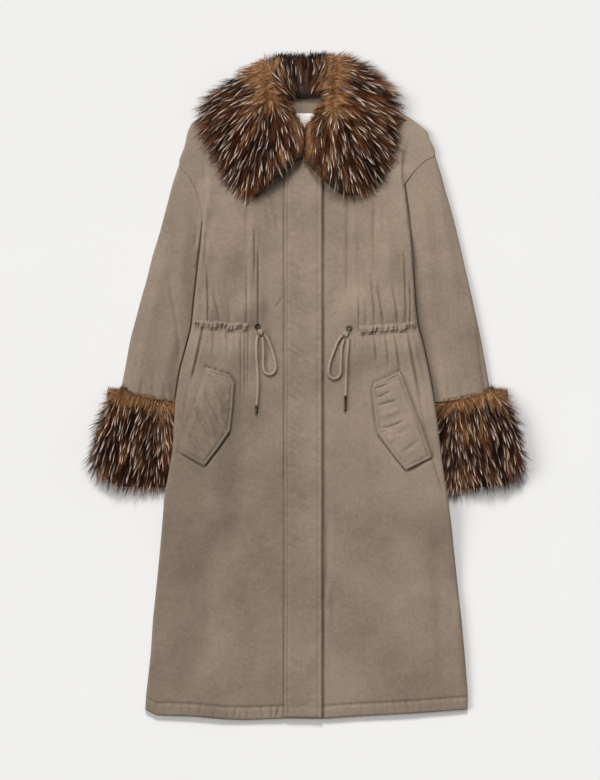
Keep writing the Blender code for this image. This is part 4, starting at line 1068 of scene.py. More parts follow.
def build_back():
    """The back, flat on the surface except where it climbs over the sleeves and cuffs."""
    ends = [(float(edge(y, "left")), y, float(edge(y, "right")), y) for y in BODY_LEVELS[::4]]
    ends.append((float(edge(226.0, "left")), 226.0, float(edge(226.0, "right")), 226.0))
    keys = [
        ends[-1],
        (*armhole("right", 0.3), float(edge(207, "right")), 207.0),
        (*armhole("right", 0.6), 405.0, 185.0),
        (*armhole("right", 0.8), *armhole("left", 0.5)),
        (*armhole("right", 1.0), *armhole("left", 1.0)),
        *BACK_YOKE,
    ]
    ends = np.concatenate([np.array(ends[:-1]), between_keys(keys, 4)])
    length = np.linalg.norm(ends[:, 2:] - ends[:, :2], axis=-1)[:, None] * PIXEL
    near = RIM_PLACES / length
    middle = np.linspace(0.0, 1.0, BACK_COLUMNS)[1:-1]
    between = near[:, -1:] + (1.0 - 2.0 * near[:, -1:]) * middle
    along = np.concatenate([near, between, 1.0 - near[:, ::-1]], axis=1)
    points = across_rows(ends, along)
    points[..., 1] += hem_drop(points[..., 0], points[..., 1])
    points[..., 1] -= BACK_HEM_RISE * smooth((points[..., 1] - HEM_FADE_Y) / (HEM_Y - HEM_FADE_Y))
    x, y = points[..., 0], points[..., 1]
    sides = np.minimum(along, 1.0 - along) * length
    rim = rounded(np.minimum(sides, hem_distance(x, y, BACK_HEM_RISE)), RIM_ROUND)
    folds = uneven(x + 90.0, y, BACK_SEED) + creased(2.0 * MIRROR_X - x, y, CREASES + GATHERS)
    under = lift(x, y) + BACK_RIM_RISE * (1.0 - rim) + np.minimum(np.maximum(folds, 0.0) * rim, BACK_HOLLOW)
    return add_wall("parka_back", x, y, lift(x, y) + WALL, under, shell, "shell", "back_panel")


def pucker(x, y, line, reach, seed):
    """Uneven small waves along a line of stitches."""
    return noise(x * 0.4, y, 4.2, seed) * ridge(x - line, reach)


PLACKET_PLACES = np.concatenate([
    [285.0, 285.2, 285.6, 286.2, 286.9, 287.5, 288.0, 288.5, 289.1],
    np.linspace(290.4, 315.0, 21),
    [316.2, 317.0, 317.6, 318.2, 318.8, 319.5, 320.4, 321.2, 321.8, 322.2, 322.5],
])
PLACKET_STITCHES = (287.9, 318.0)
PLACKET_LIFT = 0.0016
PLACKET_EDGE = 0.25         # share of the wall left at the rim
PLACKET_LEAST = 0.0006
PLACKET_UNDER_COLUMNS = 8


def placket_creases():
    """Soft slanting wrinkles from the placket's sewn edge, uneven in length, depth and spacing."""
    rng = np.random.default_rng(PLACKET_SEED)
    folds = []
    y = 192.0
    while y < 690.0:
        length = rng.uniform(8.0, 28.0)
        fall = rng.uniform(0.45, 1.15) * length
        folds.append(Crease(286.0, y, 286.0 + length, y + fall, rng.uniform(-1.5, 1.5), rng.uniform(1.3, 2.3),
                            rng.uniform(-0.0034, -0.0014), 0.6))
        y += rng.uniform(6.0, 24.0)
    return folds


def free_edge(y):
    """How far the placket's free edge stands off the coat: most between pocket and knee."""
    return 0.45 + 0.55 * smooth((y - 380.0) / 80.0) * smooth((600.0 - y) / 40.0)


def build_placket(fronts):
    """The closing strip over the centre front, sewn at its left and free at its right edge."""
    rows_y = np.concatenate([BODY_LEVELS - PLACKET_HEM_RISE, np.arange(221.0, 157.0, -2.0)])
    x, y = np.meshgrid(PLACKET_PLACES, rows_y)
    y = y + hem_drop(x, y)
    under = np.apply_along_axis(blurred, 0, height_on(fronts, x, y, FRONT_TOP) + SEAT_GAP, 2)
    under = under + PLACKET_LIFT * smooth((x - 306.0) / 16.0) * free_edge(y)
    left = rounded((x - PLACKET_PLACES[0]) * PIXEL, 0.002)
    right = rounded((PLACKET_PLACES[-1] - x) * PIXEL, 0.0024)
    hem = rounded(hem_distance(x, y, PLACKET_HEM_RISE) + 0.0004, 0.004)
    rim = PLACKET_EDGE + (1.0 - PLACKET_EDGE) * np.minimum(np.minimum(left, right), hem)
    sewn, free = PLACKET_STITCHES
    groove = -0.0012 * ridge(x - sewn, 1.0) - 0.0010 * ridge(x - free, 1.1)
    waves = 0.0008 * pucker(x, y, 288.0, 3.5, 71) + 0.0010 * pucker(x, y, 318.5, 4.0, 72)
    fine = 0.0006 * noise(x, y, 18.0, 73) + 0.0003 * noise(x, y, 6.0, 74)
    waves += fine + creased(x, y, placket_creases())
    folds = (groove + waves) * np.minimum(left, right)
    over = under + np.maximum(PLACKET_WALL * rim + folds, PLACKET_LEAST)
    return add_wall("parka_placket", x, y, over, under, shell, "shell", "placket", PLACKET_UNDER_COLUMNS)


SLEEVE_CREASES = rows_of(
    Crease,
    (176, 172, 150, 290, 4.0, 5.0, 0.0014, 0.0), (190, 196, 180, 300, -3.0, 6.0, 0.0016, 0.0),
    (164.5, 262, 180.5, 376, 3.0, 2.0, -0.0030, 0.3), (197.0, 188, 201.5, 226, 1.0, 2.6, -0.0030, 0.0),
    (201.0, 220, 196.0, 248, -1.0, 2.4, -0.0034, 0.0), (160, 236, 138, 372, 3.0, 7.0, 0.0014, 0.0),
    (187, 280, 184, 350, 1.0, 5.0, 0.0014, 0.0), (131.0, 352, 123.0, 400, 1.0, 1.9, -0.0018, 0.3),
    (135.0, 344, 128.0, 388, 0.0, 2.4, 0.0012, 0.0), (142.0, 374, 139.5, 422, 0.0, 1.8, -0.0030, 0.2),
    (152.0, 366, 154.0, 422, 0.5, 2.0, -0.0026, 0.2), (163.0, 380, 167.0, 424, 0.0, 1.8, -0.0032, 0.2),
    (172.0, 384, 176.0, 424, 0.0, 1.7, -0.0026, 0.2), (438, 162, 462, 290, -4.0, 5.0, 0.0014, 0.0),
    (420, 186, 432, 300, 3.0, 6.0, 0.0016, 0.0), (445, 250, 470, 372, -3.0, 7.0, 0.0014, 0.0),
    (424, 296, 446, 398, -2.0, 4.0, -0.0018, 0.1), (454, 300, 472, 396, 2.0, 4.0, -0.0012, 0.1),
    (475.2, 304, 485.8, 402, -1.0, 1.7, -0.0036, 0.3), (482.0, 366, 487.5, 404, 0.0, 1.6, -0.0024, 0.3),
    (417.0, 168, 405.5, 184, 0.0, 1.4, -0.0020, 0.4), (434.0, 380, 437.5, 424, 0.0, 1.8, -0.0028, 0.2),
    (447.0, 372, 449.5, 424, 0.5, 1.9, -0.0030, 0.2), (461.0, 378, 463.5, 424, 0.0, 1.7, -0.0028, 0.2),
    (471.0, 378, 474.0, 405, 0.0, 1.8, -0.0014, 0.2),
)
SLEEVE_EVEN = 32            # points across the bare part, beside the body's edge and under the body
SLEEVE_CLOSE = 13
SLEEVE_HIDDEN = 5
SLEEVE_BESIDE = 0.007
SLEEVE_PUFF_REACH = 0.030   # from a rim or the body's edge to the full puff
SLEEVE_FOLD_REACH = 0.012   # and to the full depth of the folds
SLEEVE_DEEPEST = -0.004
SLEEVE_SEED = 31
SLEEVE_TRENCH = 0.0088      # depth beside the body's edge
SLEEVE_TRENCH_WIDTH = 0.0021
SLEEVE_SEAM_ROWS = 26.0     # rows in which it rises from the armhole
# Shares of a flattened tube's rim at which it has points
TUBE_RIM_PLACES = np.array([0.0, 0.03, 0.10, 0.22, 0.40, 0.65, 1.0])


def bowed(row, along):
    """View points along a section's line, which bows."""
    outer, inner = row[:2], row[2:4]
    run = (inner - outer) / np.linalg.norm(inner - outer)
    normal = np.array([run[1], -run[0]])
    if normal[1] > 0:
        normal = -normal
    line = np.outer(1.0 - along, outer) + np.outer(along, inner)
    return line + np.outer(row[4] * np.sin(math.pi * along), normal)


def tube_section(row, side):
    """View points across a flattened sleeve, close together at its rims and beside the body's edge."""
    length = np.linalg.norm(row[2:4] - row[:2]) * PIXEL
    probe = np.linspace(0.0, 1.0, 160)
    bare = uncovered(bowed(row, probe), side)
    reach = length - SLEEVE_RIM
    if bare[-1] < 0.0:
        reach = min(reach, length * float(np.interp(0.0, -bare, probe)))
    steps = SLEEVE_RIM * TUBE_RIM_PLACES
    even = np.linspace(steps[-1], reach - SLEEVE_BESIDE, SLEEVE_EVEN)[1:]
    close = reach - SLEEVE_BESIDE * (1.0 - np.linspace(0.0, 1.0, SLEEVE_CLOSE)[1:])
    hidden = np.linspace(reach, length - steps[-1], SLEEVE_HIDDEN + 2)[1:-1]
    hidden = np.maximum(hidden, reach + 1e-5 * np.arange(1, SLEEVE_HIDDEN + 1))
    far = length - steps[::-1] + 1e-4 * (steps[::-1] > 0.006)
    distance = np.concatenate([steps, even, close, hidden, far])
    return bowed(row, np.clip(distance / length, 0.0, 1.0)), distance, length - distance


def flat_ring(points, over, under):
    """A ring round a flattened tube: along its upper side and back along its lower side."""
    top = metres(points[:, 0], points[:, 1], over)
    bottom = metres(points[:, 0], points[:, 1], under)
    return np.concatenate([top, bottom[::-1][1:-1]])


def slit_ring(points, core, slit, inset):
    """Inner ring of a flattened tube: a low slit between its layers."""
    spread = np.linspace(0.0, 1.0, len(points))[:, None]
    line = points[inset] * (1.0 - spread) + points[-1 - inset] * spread
    half = slit * np.sin(math.pi * spread[:, 0])
    return flat_ring(line, core + half, core - half)


def sleeve_rows(side):
    """Sections of a sleeve, the first along the armhole, the upper ones close beside the body."""
    keys = np.array(SLEEVES[side], dtype=float)
    seam = ARMHOLES[side]
    way = -1.0 if side == "right" else 1.0
    keys[0, :4] = (seam.x1 + 0.10 * way, seam.y1 + 0.10, seam.x0 + 0.12 * way, seam.y0 + 0.08)
    rows = between_keys(keys, 8)
    at = edge(rows[:, 3], "left" if side == "right" else "right") + 0.2 * way
    beside = (rows[:, 2] - at) * way
    last = int(np.argmax(beside < -2.0))
    rows[1:last, 2] = at[1:last]
    return rows


def build_sleeve(side):
    """A flattened sleeve tube, puffed and creased where the body does not lie on it."""
    outer_rings, inner_rings = [], []
    core = 0.5 * SLEEVE_HEIGHT
    for row_place, row in enumerate(sleeve_rows(side)):
        points, from_outer, from_inner = tube_section(row, side)
        x, y = points[:, 0], points[:, 1]
        rim = rounded(np.minimum(from_outer, from_inner), SLEEVE_RIM)
        half = core * rim
        bare = uncovered(points, side)
        free = smooth(bare / SLEEVE_PUFF_REACH) * smooth(from_outer / SLEEVE_PUFF_REACH)
        open_share = smooth(bare / SLEEVE_FOLD_REACH) * rounded(from_outer, SLEEVE_FOLD_REACH)
        folds = (creased(x, y, SLEEVE_CREASES) + uneven(x, y, SLEEVE_SEED)) * open_share
        below = smooth((y - ARMHOLES[side].y0) / 14.0)
        trench = -SLEEVE_TRENCH * half / core * ridge(bare, SLEEVE_TRENCH_WIDTH) * below
        natural = core + half + SLEEVE_PUFF * free + np.maximum(folds, SLEEVE_DEEPEST) + trench
        level = core + (FRONT_TOP - 0.0004 - core) * rim
        over = level + (natural - level) * smooth(row_place / SLEEVE_SEAM_ROWS)
        outer_rings.append(flat_ring(points, over, core - half))
        inner_rings.append(slit_ring(points, SLEEVE_SLIT_LEVEL, SLEEVE_SLIT, 6))
    mesh = tube(np.array(outer_rings), np.array(inner_rings))
    return add_piece("parka_sleeve_" + side, *mesh, shell, "shell", "sleeve_" + side)


def gather_phase(along, count, seed):
    """Turns of an uneven wave along a strip."""
    gaps = np.random.default_rng(seed).uniform(0.55, 1.45, count)
    marks = np.concatenate([[0.0], np.cumsum(gaps)]) / gaps.sum()
    return np.interp(along, marks, np.arange(count + 1))


PUCKER_COUNT = 12
CROWDING = 0.82             # below 1, puckers crowd towards the side seam
CASING_SEEDS = {"right": 81, "left": 82}
PUCKER_HEIGHT = 0.0082


def build_casing(side, fronts):
    """A gathered drawstring channel: uneven puckers, closer together towards the side seam."""
    strip = CASINGS[side]
    seed = CASING_SEEDS[side]
    along, across = np.meshgrid(np.linspace(0.0, 1.0, 170), np.linspace(1.0, -1.0, 23))
    x = strip.x0 + (strip.x1 - strip.x0) * along
    sag = 0.7 * noise(x, 0.0 * x, 6.0, seed + 4)
    y = strip.y0 + (strip.y1 - strip.y0) * along + strip.half * across + sag
    under = blurred_grid(height_on(fronts, x, y, FRONT_TOP) + 0.4 * SEAT_GAP, 1)
    crowded = along ** CROWDING if side == "right" else 1.0 - (1.0 - along) ** CROWDING
    bent = crowded + 0.020 * noise(x, y, 4.0, seed)
    turns = gather_phase(np.clip(bent, 0.0, 1.0), PUCKER_COUNT, seed)
    heights = np.random.default_rng(seed + 2).uniform(0.45, 1.25, PUCKER_COUNT + 2)
    tall = np.interp(turns, np.arange(PUCKER_COUNT + 2), heights)
    wave = np.abs(np.sin(math.pi * turns)) ** 0.8
    shift = 0.45 * noise(x, 0.0 * x + 3.0, 4.5, seed + 5)
    bulge = ridge(across - shift, 0.52) * rounded(1.0 - np.abs(across), 0.30)
    drawn = ridge(across - 0.3 * shift, 0.20)
    fine = 0.0003 * noise(x, y, 1.7, seed + 3)
    puckers = PUCKER_HEIGHT * wave * tall * bulge * (1.0 - 0.35 * drawn)
    over = under + 0.0003 + 0.0006 * smooth((1.0 - np.abs(across)) / 0.5) + puckers + fine * bulge
    return add_wall("parka_casing_" + side, x, y, over, under, shell, "shell", "waist_casing_" + side)


def blurred_grid(values, reach):
    """A grid of heights smoothed both ways."""
    values = np.apply_along_axis(blurred, 1, values, reach)
    return values if values.shape[0] < 8 * reach else np.apply_along_axis(blurred, 0, values, reach)


def line_distance(x, y, corners, closed=True):
    """Distance of view points from the nearest side of a polygon or line."""
    best = np.full(np.shape(x), 1e9)
    following = corners[1:] + corners[:1] if closed else corners[1:]
    for start, end in zip(corners, following):
        best = np.minimum(best, np.hypot(*off_segment(x, y, start, end)))
    return best


def flap_outline(side):
    """Corners of a pocket flap: down its sewn edge and back up its free edge."""
    rows = FLAPS[side]
    sewn = [(row.sewn_x, row.sewn_y) for row in rows]
    return sewn + [(row.free_x, row.free_y) for row in reversed(rows)]


FLAP_CREASES = {
    "right": rows_of(
        Crease,
        (201, 373, 229, 400, 3.5, 1.6, -0.0024, 0.2), (203, 388, 222, 428, 1.0, 1.7, -0.0028, 0.2),
        (194, 406, 213, 444, 0.5, 1.7, -0.0026, 0.2), (216, 419, 227, 433, 0.0, 1.3, -0.0016, 0.2),
        (221, 417, 229, 428, 0.0, 1.2, -0.0012, 0.2), (207, 382, 226, 416, 1.0, 2.4, 0.0014, 0.0),
        (199, 400, 217, 438, 0.5, 2.4, 0.0014, 0.0), (186, 430, 206, 458, 0.0, 2.4, -0.0012, 0.0),
        (213, 376, 231, 388, 1.0, 1.6, -0.0010, 0.2),
    ),
    "left": rows_of(
        Crease,
        (389, 382, 372, 389, 0.8, 1.4, -0.0022, 0.4), (392, 389, 374, 398, 0.8, 1.5, -0.0020, 0.4),
        (398, 400, 375, 407, -1.2, 1.6, -0.0022, 0.4), (406, 418, 377, 428, 2.2, 1.6, -0.0024, 0.4),
        (392, 426, 379, 433, 0.5, 1.3, -0.0016, 0.4), (401, 409, 377, 416, 1.0, 2.6, 0.0013, 0.0),
        (400, 434, 384, 442, 0.0, 2.6, 0.0010, 0.0), (420, 438, 398, 454, 0.5, 2.4, -0.0012, 0.2),
        (410, 426, 392, 436, 0.5, 2.0, -0.0010, 0.2),
    ),
}
FLAP_DEPTH = {"right": 2.6, "left": 1.9}
FLAP_STITCH = 3.2           # pixels from the rim to its stitching
FLAP_RIM = 0.0019
FLAP_EDGE = 0.45            # share of the wall left at the rim
FLAP_LEAST = 0.0003
FLAP_SEEDS = {"right": 91, "left": 92}
FLAP_LIFT = {"right": 0.0022, "left": 0.0036}          # the free edge stands off the coat


def build_flap(side, fronts):
    """A pocket flap, topstitched inside its rim, creased, sewn along its slanting outer edge."""
    rows = np.array(FLAPS[side], dtype=float)
    lengths = travelled(rows[:, 2:])
    close = np.array([0.3, 0.8, 1.5, 2.4])
    steps = np.concatenate([np.linspace(0.0, lengths[-1], 76), lengths, close, lengths[-1] - close])
    rim_share = np.array([0.0, 0.006, 0.018, 0.035, 0.055])
    share = np.concatenate([rim_share, np.linspace(0.075, 0.925, 42), 1.0 - rim_share[::-1]])
    points = across_rows(at_stations(np.unique(steps), lengths, rows), share)
    x, y = points[..., 0], points[..., 1]
    sewn = line_distance(x, y, [(row[0], row[1]) for row in rows], closed=False)
    off = FLAP_LIFT[side] * smooth((sewn - 4.0) / 18.0)
    under = blurred_grid(height_on(fronts, x, y, FRONT_TOP), 4) + SEAT_GAP + off
    inside = line_distance(x, y, flap_outline(side))
    rim = rounded(inside * PIXEL, FLAP_RIM)
    stitched = 0.0009 * ridge(inside - 1.5, 1.1) - 0.0015 * ridge(inside - FLAP_STITCH, 0.8)
    seed = FLAP_SEEDS[side]
    folds = FLAP_DEPTH[side] * creased(x, y, FLAP_CREASES[side])
    folds = folds + 0.0006 * noise(x, y, 9.0, seed) + 0.0003 * noise(x, y, 4.0, seed + 5)
    body = FLAP_WALL * (FLAP_EDGE + (1.0 - FLAP_EDGE) * rim)
    if side == "right":
        body = FLAP_LEAST + (body - FLAP_LEAST) * smooth(sewn / 6.0)
        folds = folds * smooth(sewn / 4.0) + stitched * smooth((sewn - 3.0) / 5.0)
    else:
        folds = folds + stitched + 0.0016 * ridge(sewn - 1.3, 0.9) + 0.0010 * ridge(sewn - 5.0, 0.9)
    over = under + np.maximum(body + folds * rim, FLAP_LEAST)
    name = "pocket_flap_" + side
    return add_wall("parka_" + name, x, y, over, under, shell, "shell", name)


def build_neck():
    """The facing seen inside the back neck, and the blank label on it."""
    ends = between_keys([(row.left, row.y, row.right, row.y) for row in FACING], 12)
    points = across_rows(ends, np.linspace(0.0, 1.0, 50))
    x, y = points[..., 0], points[..., 1]
    under = np.full(x.shape, WALL + 0.5 * SEAT_GAP)
    folds = 0.0005 * noise(x, y, 11.0, 101) + 0.0003 * noise(x, y, 5.0, 102)
    over = under + FACING_WALL + np.maximum(folds, -0.0006)
    facing = add_wall("parka_neck_facing", x, y, over, under, shell, "shell", "neck_facing")
    x0, y0, x1, y1 = LABEL
    x, y = np.meshgrid(np.linspace(x0, x1, 30), np.linspace(y1, y0, 20))
    rim = rounded(np.minimum(np.minimum(x - x0, x1 - x), np.minimum(y - y0, y1 - y)) * PIXEL, 0.001)
    under = WALL + SEAT_GAP + FACING_WALL + 0.0003 * noise(x, y, 8.0, 103)
    over = under + LABEL_WALL * (0.4 + 0.6 * rim)
    return facing, add_wall("parka_neck_label", x, y, over, under, tape, "label", "neck_label")


# Cords and hardware

def frames_along(path):
    """Tangents and two side directions at the points of a path."""
    tangent = np.gradient(path, axis=0)
    tangent /= np.linalg.norm(tangent, axis=1)[:, None]
    side = np.cross(tangent, (0.0, 0.0, 1.0))
    side /= np.linalg.norm(side, axis=1)[:, None]
    return tangent, side, np.cross(side, tangent)


def turn_of(count):
    """Even steps of one turn."""
    return np.linspace(0.0, 2.0 * math.pi, count, endpoint=False)


def braided(path, radius, sides=24):
    """Rings of a braided cord along a path: two sets of strands that cross."""
    _, side, up = frames_along(path)
    angle = turn_of(sides)[None, :]
    twist = travelled(path)[:, None] / radius * 0.9
    weave = np.sin(6.0 * angle + 3.0 * twist) * np.sin(6.0 * angle - 3.0 * twist)
    size = radius * (1.0 + 0.07 * weave)
    ring = np.cos(angle)[..., None] * side[:, None] + np.sin(angle)[..., None] * up[:, None]
    return path[:, None] + ring * size[..., None]


def cord_path(route, fronts, radius):
    """A route of the front view, laid on the fronts."""
    view = smooth_route(route, 0.0007 / PIXEL)
    height = height_on(fronts, view[:, 0], view[:, 1], FRONT_TOP)
    height = blurred(height, 6) + CORD_LIFT + radius
    return metres(view[:, 0], view[:, 1], height)


def turned(profile, start, finish, sides=28):
    """Rings of a turned piece: pairs of distance along and radius between two points."""
    axis = (finish - start) / np.linalg.norm(finish - start)
    side = np.cross(axis, (0.0, 0.0, 1.0))
    side /= np.linalg.norm(side)
    up = np.cross(side, axis)
    angle = turn_of(sides)[:, None]
    ring = np.cos(angle) * side + np.sin(angle) * up
    return np.array([start + axis * along + ring * radius for along, radius in profile])


def build_aglet(side, fronts):
    """The turned metal end of a cord."""
    last, tip = np.array(CORDS[side].end[-1]), np.array(CORDS[side].tip)
    begin = last + (tip - last) / np.linalg.norm(tip - last) * 0.3 * SEAT_GAP / PIXEL
    x, y = np.stack([begin, tip], axis=-1)
    start, finish = metres(x, y, height_on(fronts, x, y, FRONT_TOP) + CORD_LIFT + AGLET_RADIUS)
    length = float(np.linalg.norm(finish - start))
    profile = [(0.0, 0.0024), (0.0002, 0.0027), (0.0010, 0.00285), (0.0018, 0.0027), (0.0022, 0.0025),
               (0.5 * length, 0.0025), (length - 0.0026, 0.0024), (length - 0.0018, 0.0027),
               (length - 0.0008, 0.0026), (length - 0.0002, 0.0021), (length, 0.0016)]
    mesh = solid(turned(profile, start, finish))
    return add_piece("parka_aglet_" + side, *mesh, bronze, "metal", "aglet_" + side)


def build_knot(side, fronts):
    """The knot of a cord: a closed line that crosses itself three times."""
    knot = np.array(CORDS[side].knot)
    turn = turn_of(120)
    bends = np.stack([np.sin(turn) + 2.0 * np.sin(2.0 * turn), np.cos(turn) - 2.0 * np.cos(2.0 * turn),
                      -1.1 * np.sin(3.0 * turn)], axis=-1)
    bends *= np.array(KNOT_BENDS)
    bends += metres(*knot, float(height_on(fronts, *knot, FRONT_TOP) + CORD_LIFT + KNOT_HALF))
    rings = braided(np.concatenate([bends[-3:], bends, bends[:4]]), KNOT_RADIUS, 14)[3:-3]
    name = "cord_knot_" + side
    return add_piece("parka_" + name, *closed_rings(rings[:-1]), braid, "cord", name)


def build_eyelet(side):
    """The metal ring where a cord comes out, lying as the eyelet of the frame does."""
    places = np.array([vert.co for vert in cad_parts["eyelet_" + side].data.vertices])
    centre = places.mean(axis=0)
    spin, _, normal = np.linalg.svd(places - centre)[2]
    turn = turn_of(48)[:, None]
    out = np.cos(turn) * spin + np.sin(turn) * np.cross(normal, spin)
    flare = turn_of(14)
    aside = out[:, None] * (1.15 * EYELET_WIRE * np.cos(flare))[None, :, None]
    above = (normal * 0.95 * EYELET_WIRE)[None, None] * np.sin(flare)[None, :, None]
    rings = (centre + out * EYELET_RADIUS)[:, None] + aside + above
    add_piece("parka_eyelet_" + side, *closed_rings(rings), bronze, "metal", "eyelet_" + side)


def build_cord(side, fronts):
    """The tied drawcord of one side: metal end, knot, loop, free end and eyelet."""
    radius = 0.5 * CORD_DIAMETER
    aglet = build_aglet(side, fronts)
    knot = build_knot(side, fronts)
    for kind, far, extra in (("loop", "object", knot), ("end", "fitting", aglet)):
        path = cord_path(getattr(CORDS[side], kind), fronts, radius)
        name = "cord_%s_%s" % (kind, side)
        piece = add_piece("parka_" + name, *solid(braided(path, radius)), braid, "cord", name)
    build_eyelet(side)


def closed_rings(rings):
    """Points and faces of rings that run round to where they began."""
    return rings.reshape(-1, 3), [ring_faces(*rings.shape[:2], closed=True)]


# Stitching

Stitch = namedtuple("Stitch", "length pitch half")
STITCH = Stitch(0.0033, 0.0046, 0.00040)
STITCH_RINGS = ((-0.5, 0.45, -0.0005), (-0.22, 1.0, 0.00018), (0.22, 1.0, 0.00018), (0.5, 0.45, -0.0005))
HEM_STITCH_ENDS = ((148.0, 283.5), (323.5, 465.5))
ARMHOLE_STITCHES = (1.2, 3.6)


def along_line(points, pitch):
    """Places and headings at even steps along a line of the front view."""
    points = np.array(points, dtype=float)
    lengths = travelled(points)
    count = max(2, int(lengths[-1] / pitch))
    stations = (np.arange(count) + 0.5) * lengths[-1] / count
    ahead, behind = at_stations(stations + 0.3, lengths, points), at_stations(stations - 0.3, lengths, points)
    heading = (ahead - behind) / np.linalg.norm(ahead - behind, axis=1)[:, None]
    return at_stations(stations, lengths, points), heading


def add_stitches(name, lines, host):
    """Threads along lines of the front view, drawn into the cloth at both ends."""
    tree = surface_of(host)
    rng = np.random.default_rng(len(name))
    rings = []
    for line in lines:
        places, heading = along_line(line, STITCH.pitch / PIXEL)
        heading = heading + rng.normal(0.0, 0.05, heading.shape)
        side = np.stack([heading[:, 1], heading[:, 0], 0.0 * heading[:, 0]], axis=-1)
        spread = []
        for along, size, rise in STITCH_RINGS:
            x, y = (places + heading * along * STITCH.length / PIXEL).T
            centre = metres(x, y, height_on(tree, x, y, FRONT_TOP) + rise)
            ring = [math.cos(turn) * side + math.sin(turn) * np.array([0.0, 0.0, 1.0])
                    for turn in np.arange(5) * 2.0 * math.pi / 5.0]
            spread.append(np.stack([centre + size * STITCH.half * offset for offset in ring], axis=1))
        rings.append(np.stack(spread, axis=1))
    rings = np.concatenate(rings)
    count, rows, sides = rings.shape[:3]
    start = (np.arange(count) * rows * sides)[:, None, None]
    quads = ring_faces(rows, sides)[None] + start
    first, last = np.arange(sides)[::-1], (rows - 1) * sides + np.arange(sides)
    caps = np.stack([first, last])[None] + start
    return add_piece(name, rings, [quads.reshape(-1, 4), caps.reshape(-1, sides)], thread, "shell")


def hem_line(x0, x1):
    """The hem's stitching between two places of the front view."""
    x = np.linspace(x0, x1, 80)
    return np.stack([x, HEM_Y + hem_drop(x, HEM_Y) - HEM_STITCH], axis=-1)


def armhole_line(side, inset):
    """A line of stitches beside the armhole seam, on the chest."""
    aside = np.array([inset if side == "right" else -inset, -0.3 * inset])
    return [tuple(armhole(side, step) + aside) for step in np.linspace(0.1, 0.97, 20)]


def flap_line(side):
    """The topstitching of a flap, inside its free edges."""
    corners = np.array(flap_outline(side))
    middle = corners.mean(axis=0)
    rows = len(FLAPS[side])
    free = np.concatenate([corners[:1], corners[rows:][::-1], corners[rows - 1:rows]])
    inward = middle - free
    scale = (np.linalg.norm(inward, axis=1) - 1.25 * FLAP_STITCH) / np.linalg.norm(inward, axis=1)
    return middle - inward * scale[:, None]


# Fur

PELT_SHARE = 0.58           # height of the dense underfur against the tips of the hairs
PELT_INSET = 6.5            # pixels that the underfur stops short of the collar's edge
HAIR_CLEAR = 0.0012         # least height of a hair above what lies under it
BORDER_PULL = 1.15          # how far hairs at a border turn out of it
SPILL = (0.001, 0.0105)     # how far locks reach past their places

# Lines that the hairs lie away from, each with its strength, the golden crowns, the hairs' length,
# the share of the layers' locks, and the seed
Hide = namedtuple("Hide", "sources crowns length scale seed")
HIDES = {
    "collar_right": Hide((((261, 62), (270, 101), 1.0), ((281, 56), (306, 56), 4.0)),
                         (((262, 66), (270, 102), 1.0),), 0.036, 1.0, 201),
    "collar_left": Hide((((338, 58), (333, 111), 1.0), ((304, 56), (323, 55), 4.0)),
                        (((337, 60), (333, 112), 1.0),), 0.036, 1.0, 202),
    "cuff_right": Hide((((124, 388), (162, 398), 1.0),), (((112, 396), (176, 408), 1.0),), 0.034, 0.62, 203),
    "cuff_left": Hide((((453, 398), (491, 388), 1.0),), (((440, 408), (503, 396), 1.0),), 0.034, 0.62, 204),
}

# Layers of locks: how many locks, strands in each, half width of a strand, share of the usual
# length, share of the fur's full height, spread of a lock at its root and at its tip, and how far
# locks stray from their heading
Layer = namedtuple("Layer", "locks strands width length height root_spread tip_spread wander")
LAYERS = {
    "base": Layer(1350, 4, (0.00034, 0.00062), (0.9, 1.4), (0.66, 0.88), 0.0030, 0.0020, 0.12),
    "fine": Layer(860, 3, (0.00024, 0.00042), (0.9, 1.4), (0.82, 0.98), 0.0024, 0.0016, 0.12),
    "crown": Layer(420, 4, (0.00026, 0.00046), (0.55, 1.0), (0.88, 1.0), 0.0022, 0.0022, 0.18),
    "neck": Layer(190, 4, (0.00028, 0.00046), (0.45, 0.75), (0.70, 0.95), 0.0022, 0.0016, 0.16),
    "brim": Layer(1500, 1, (0.00026, 0.00044), (1.0, 1.0), (0.86, 0.95), 0.0, 0.0, 0.0),
    "guard": Layer(265, 3, (0.00034, 0.00056), (0.66, 1.0), (1.0, 1.10), 0.0008, 0.00035, 0.13),
}

# Colours of a strand at its root, middle, before its tip and at its tip
STRAND_COLOURS = {
    "dark": ((0.006, 0.003, 0.002), (0.016, 0.006, 0.004), (0.030, 0.011, 0.008), (0.048, 0.019, 0.013)),
    "rust": ((0.014, 0.005, 0.003), (0.080, 0.025, 0.010), (0.176, 0.060, 0.022), (0.245, 0.091, 0.035)),
    "ginger": ((0.04, 0.016, 0.007), (0.21, 0.090, 0.034), (0.37, 0.172, 0.066), (0.47, 0.232, 0.098)),
    "tan": ((0.08, 0.042, 0.020), (0.39, 0.225, 0.106), (0.61, 0.385, 0.195), (0.71, 0.48, 0.265)),
    "grey": ((0.014, 0.008, 0.007), (0.070, 0.042, 0.034), (0.25, 0.185, 0.160), (0.42, 0.325, 0.285)),
    "pale": ((0.014, 0.008, 0.007), (0.11, 0.060, 0.044), (0.92, 0.75, 0.64), (1.0, 0.91, 0.83)),
}
KINDS = {word: place for place, word in enumerate(STRAND_COLOURS)}
WARMTH = np.array((1.02, 0.90, 0.83))
GUARD_WARMTH = np.array((1.0, 0.92, 0.86))
SHADES = {"coll": 0.94, "cuff": 0.77}
# Places of a strand's rings along it and their size, and the colours that they take
HAIR_RINGS = (((0.0, 0.6), (0.5, 1.0)), (0, 1.5, 3))
GUARD_RINGS = (((0.0, 0.6), (0.36, 1.0), (0.74, 0.80)), (0, 1, 2, 3))


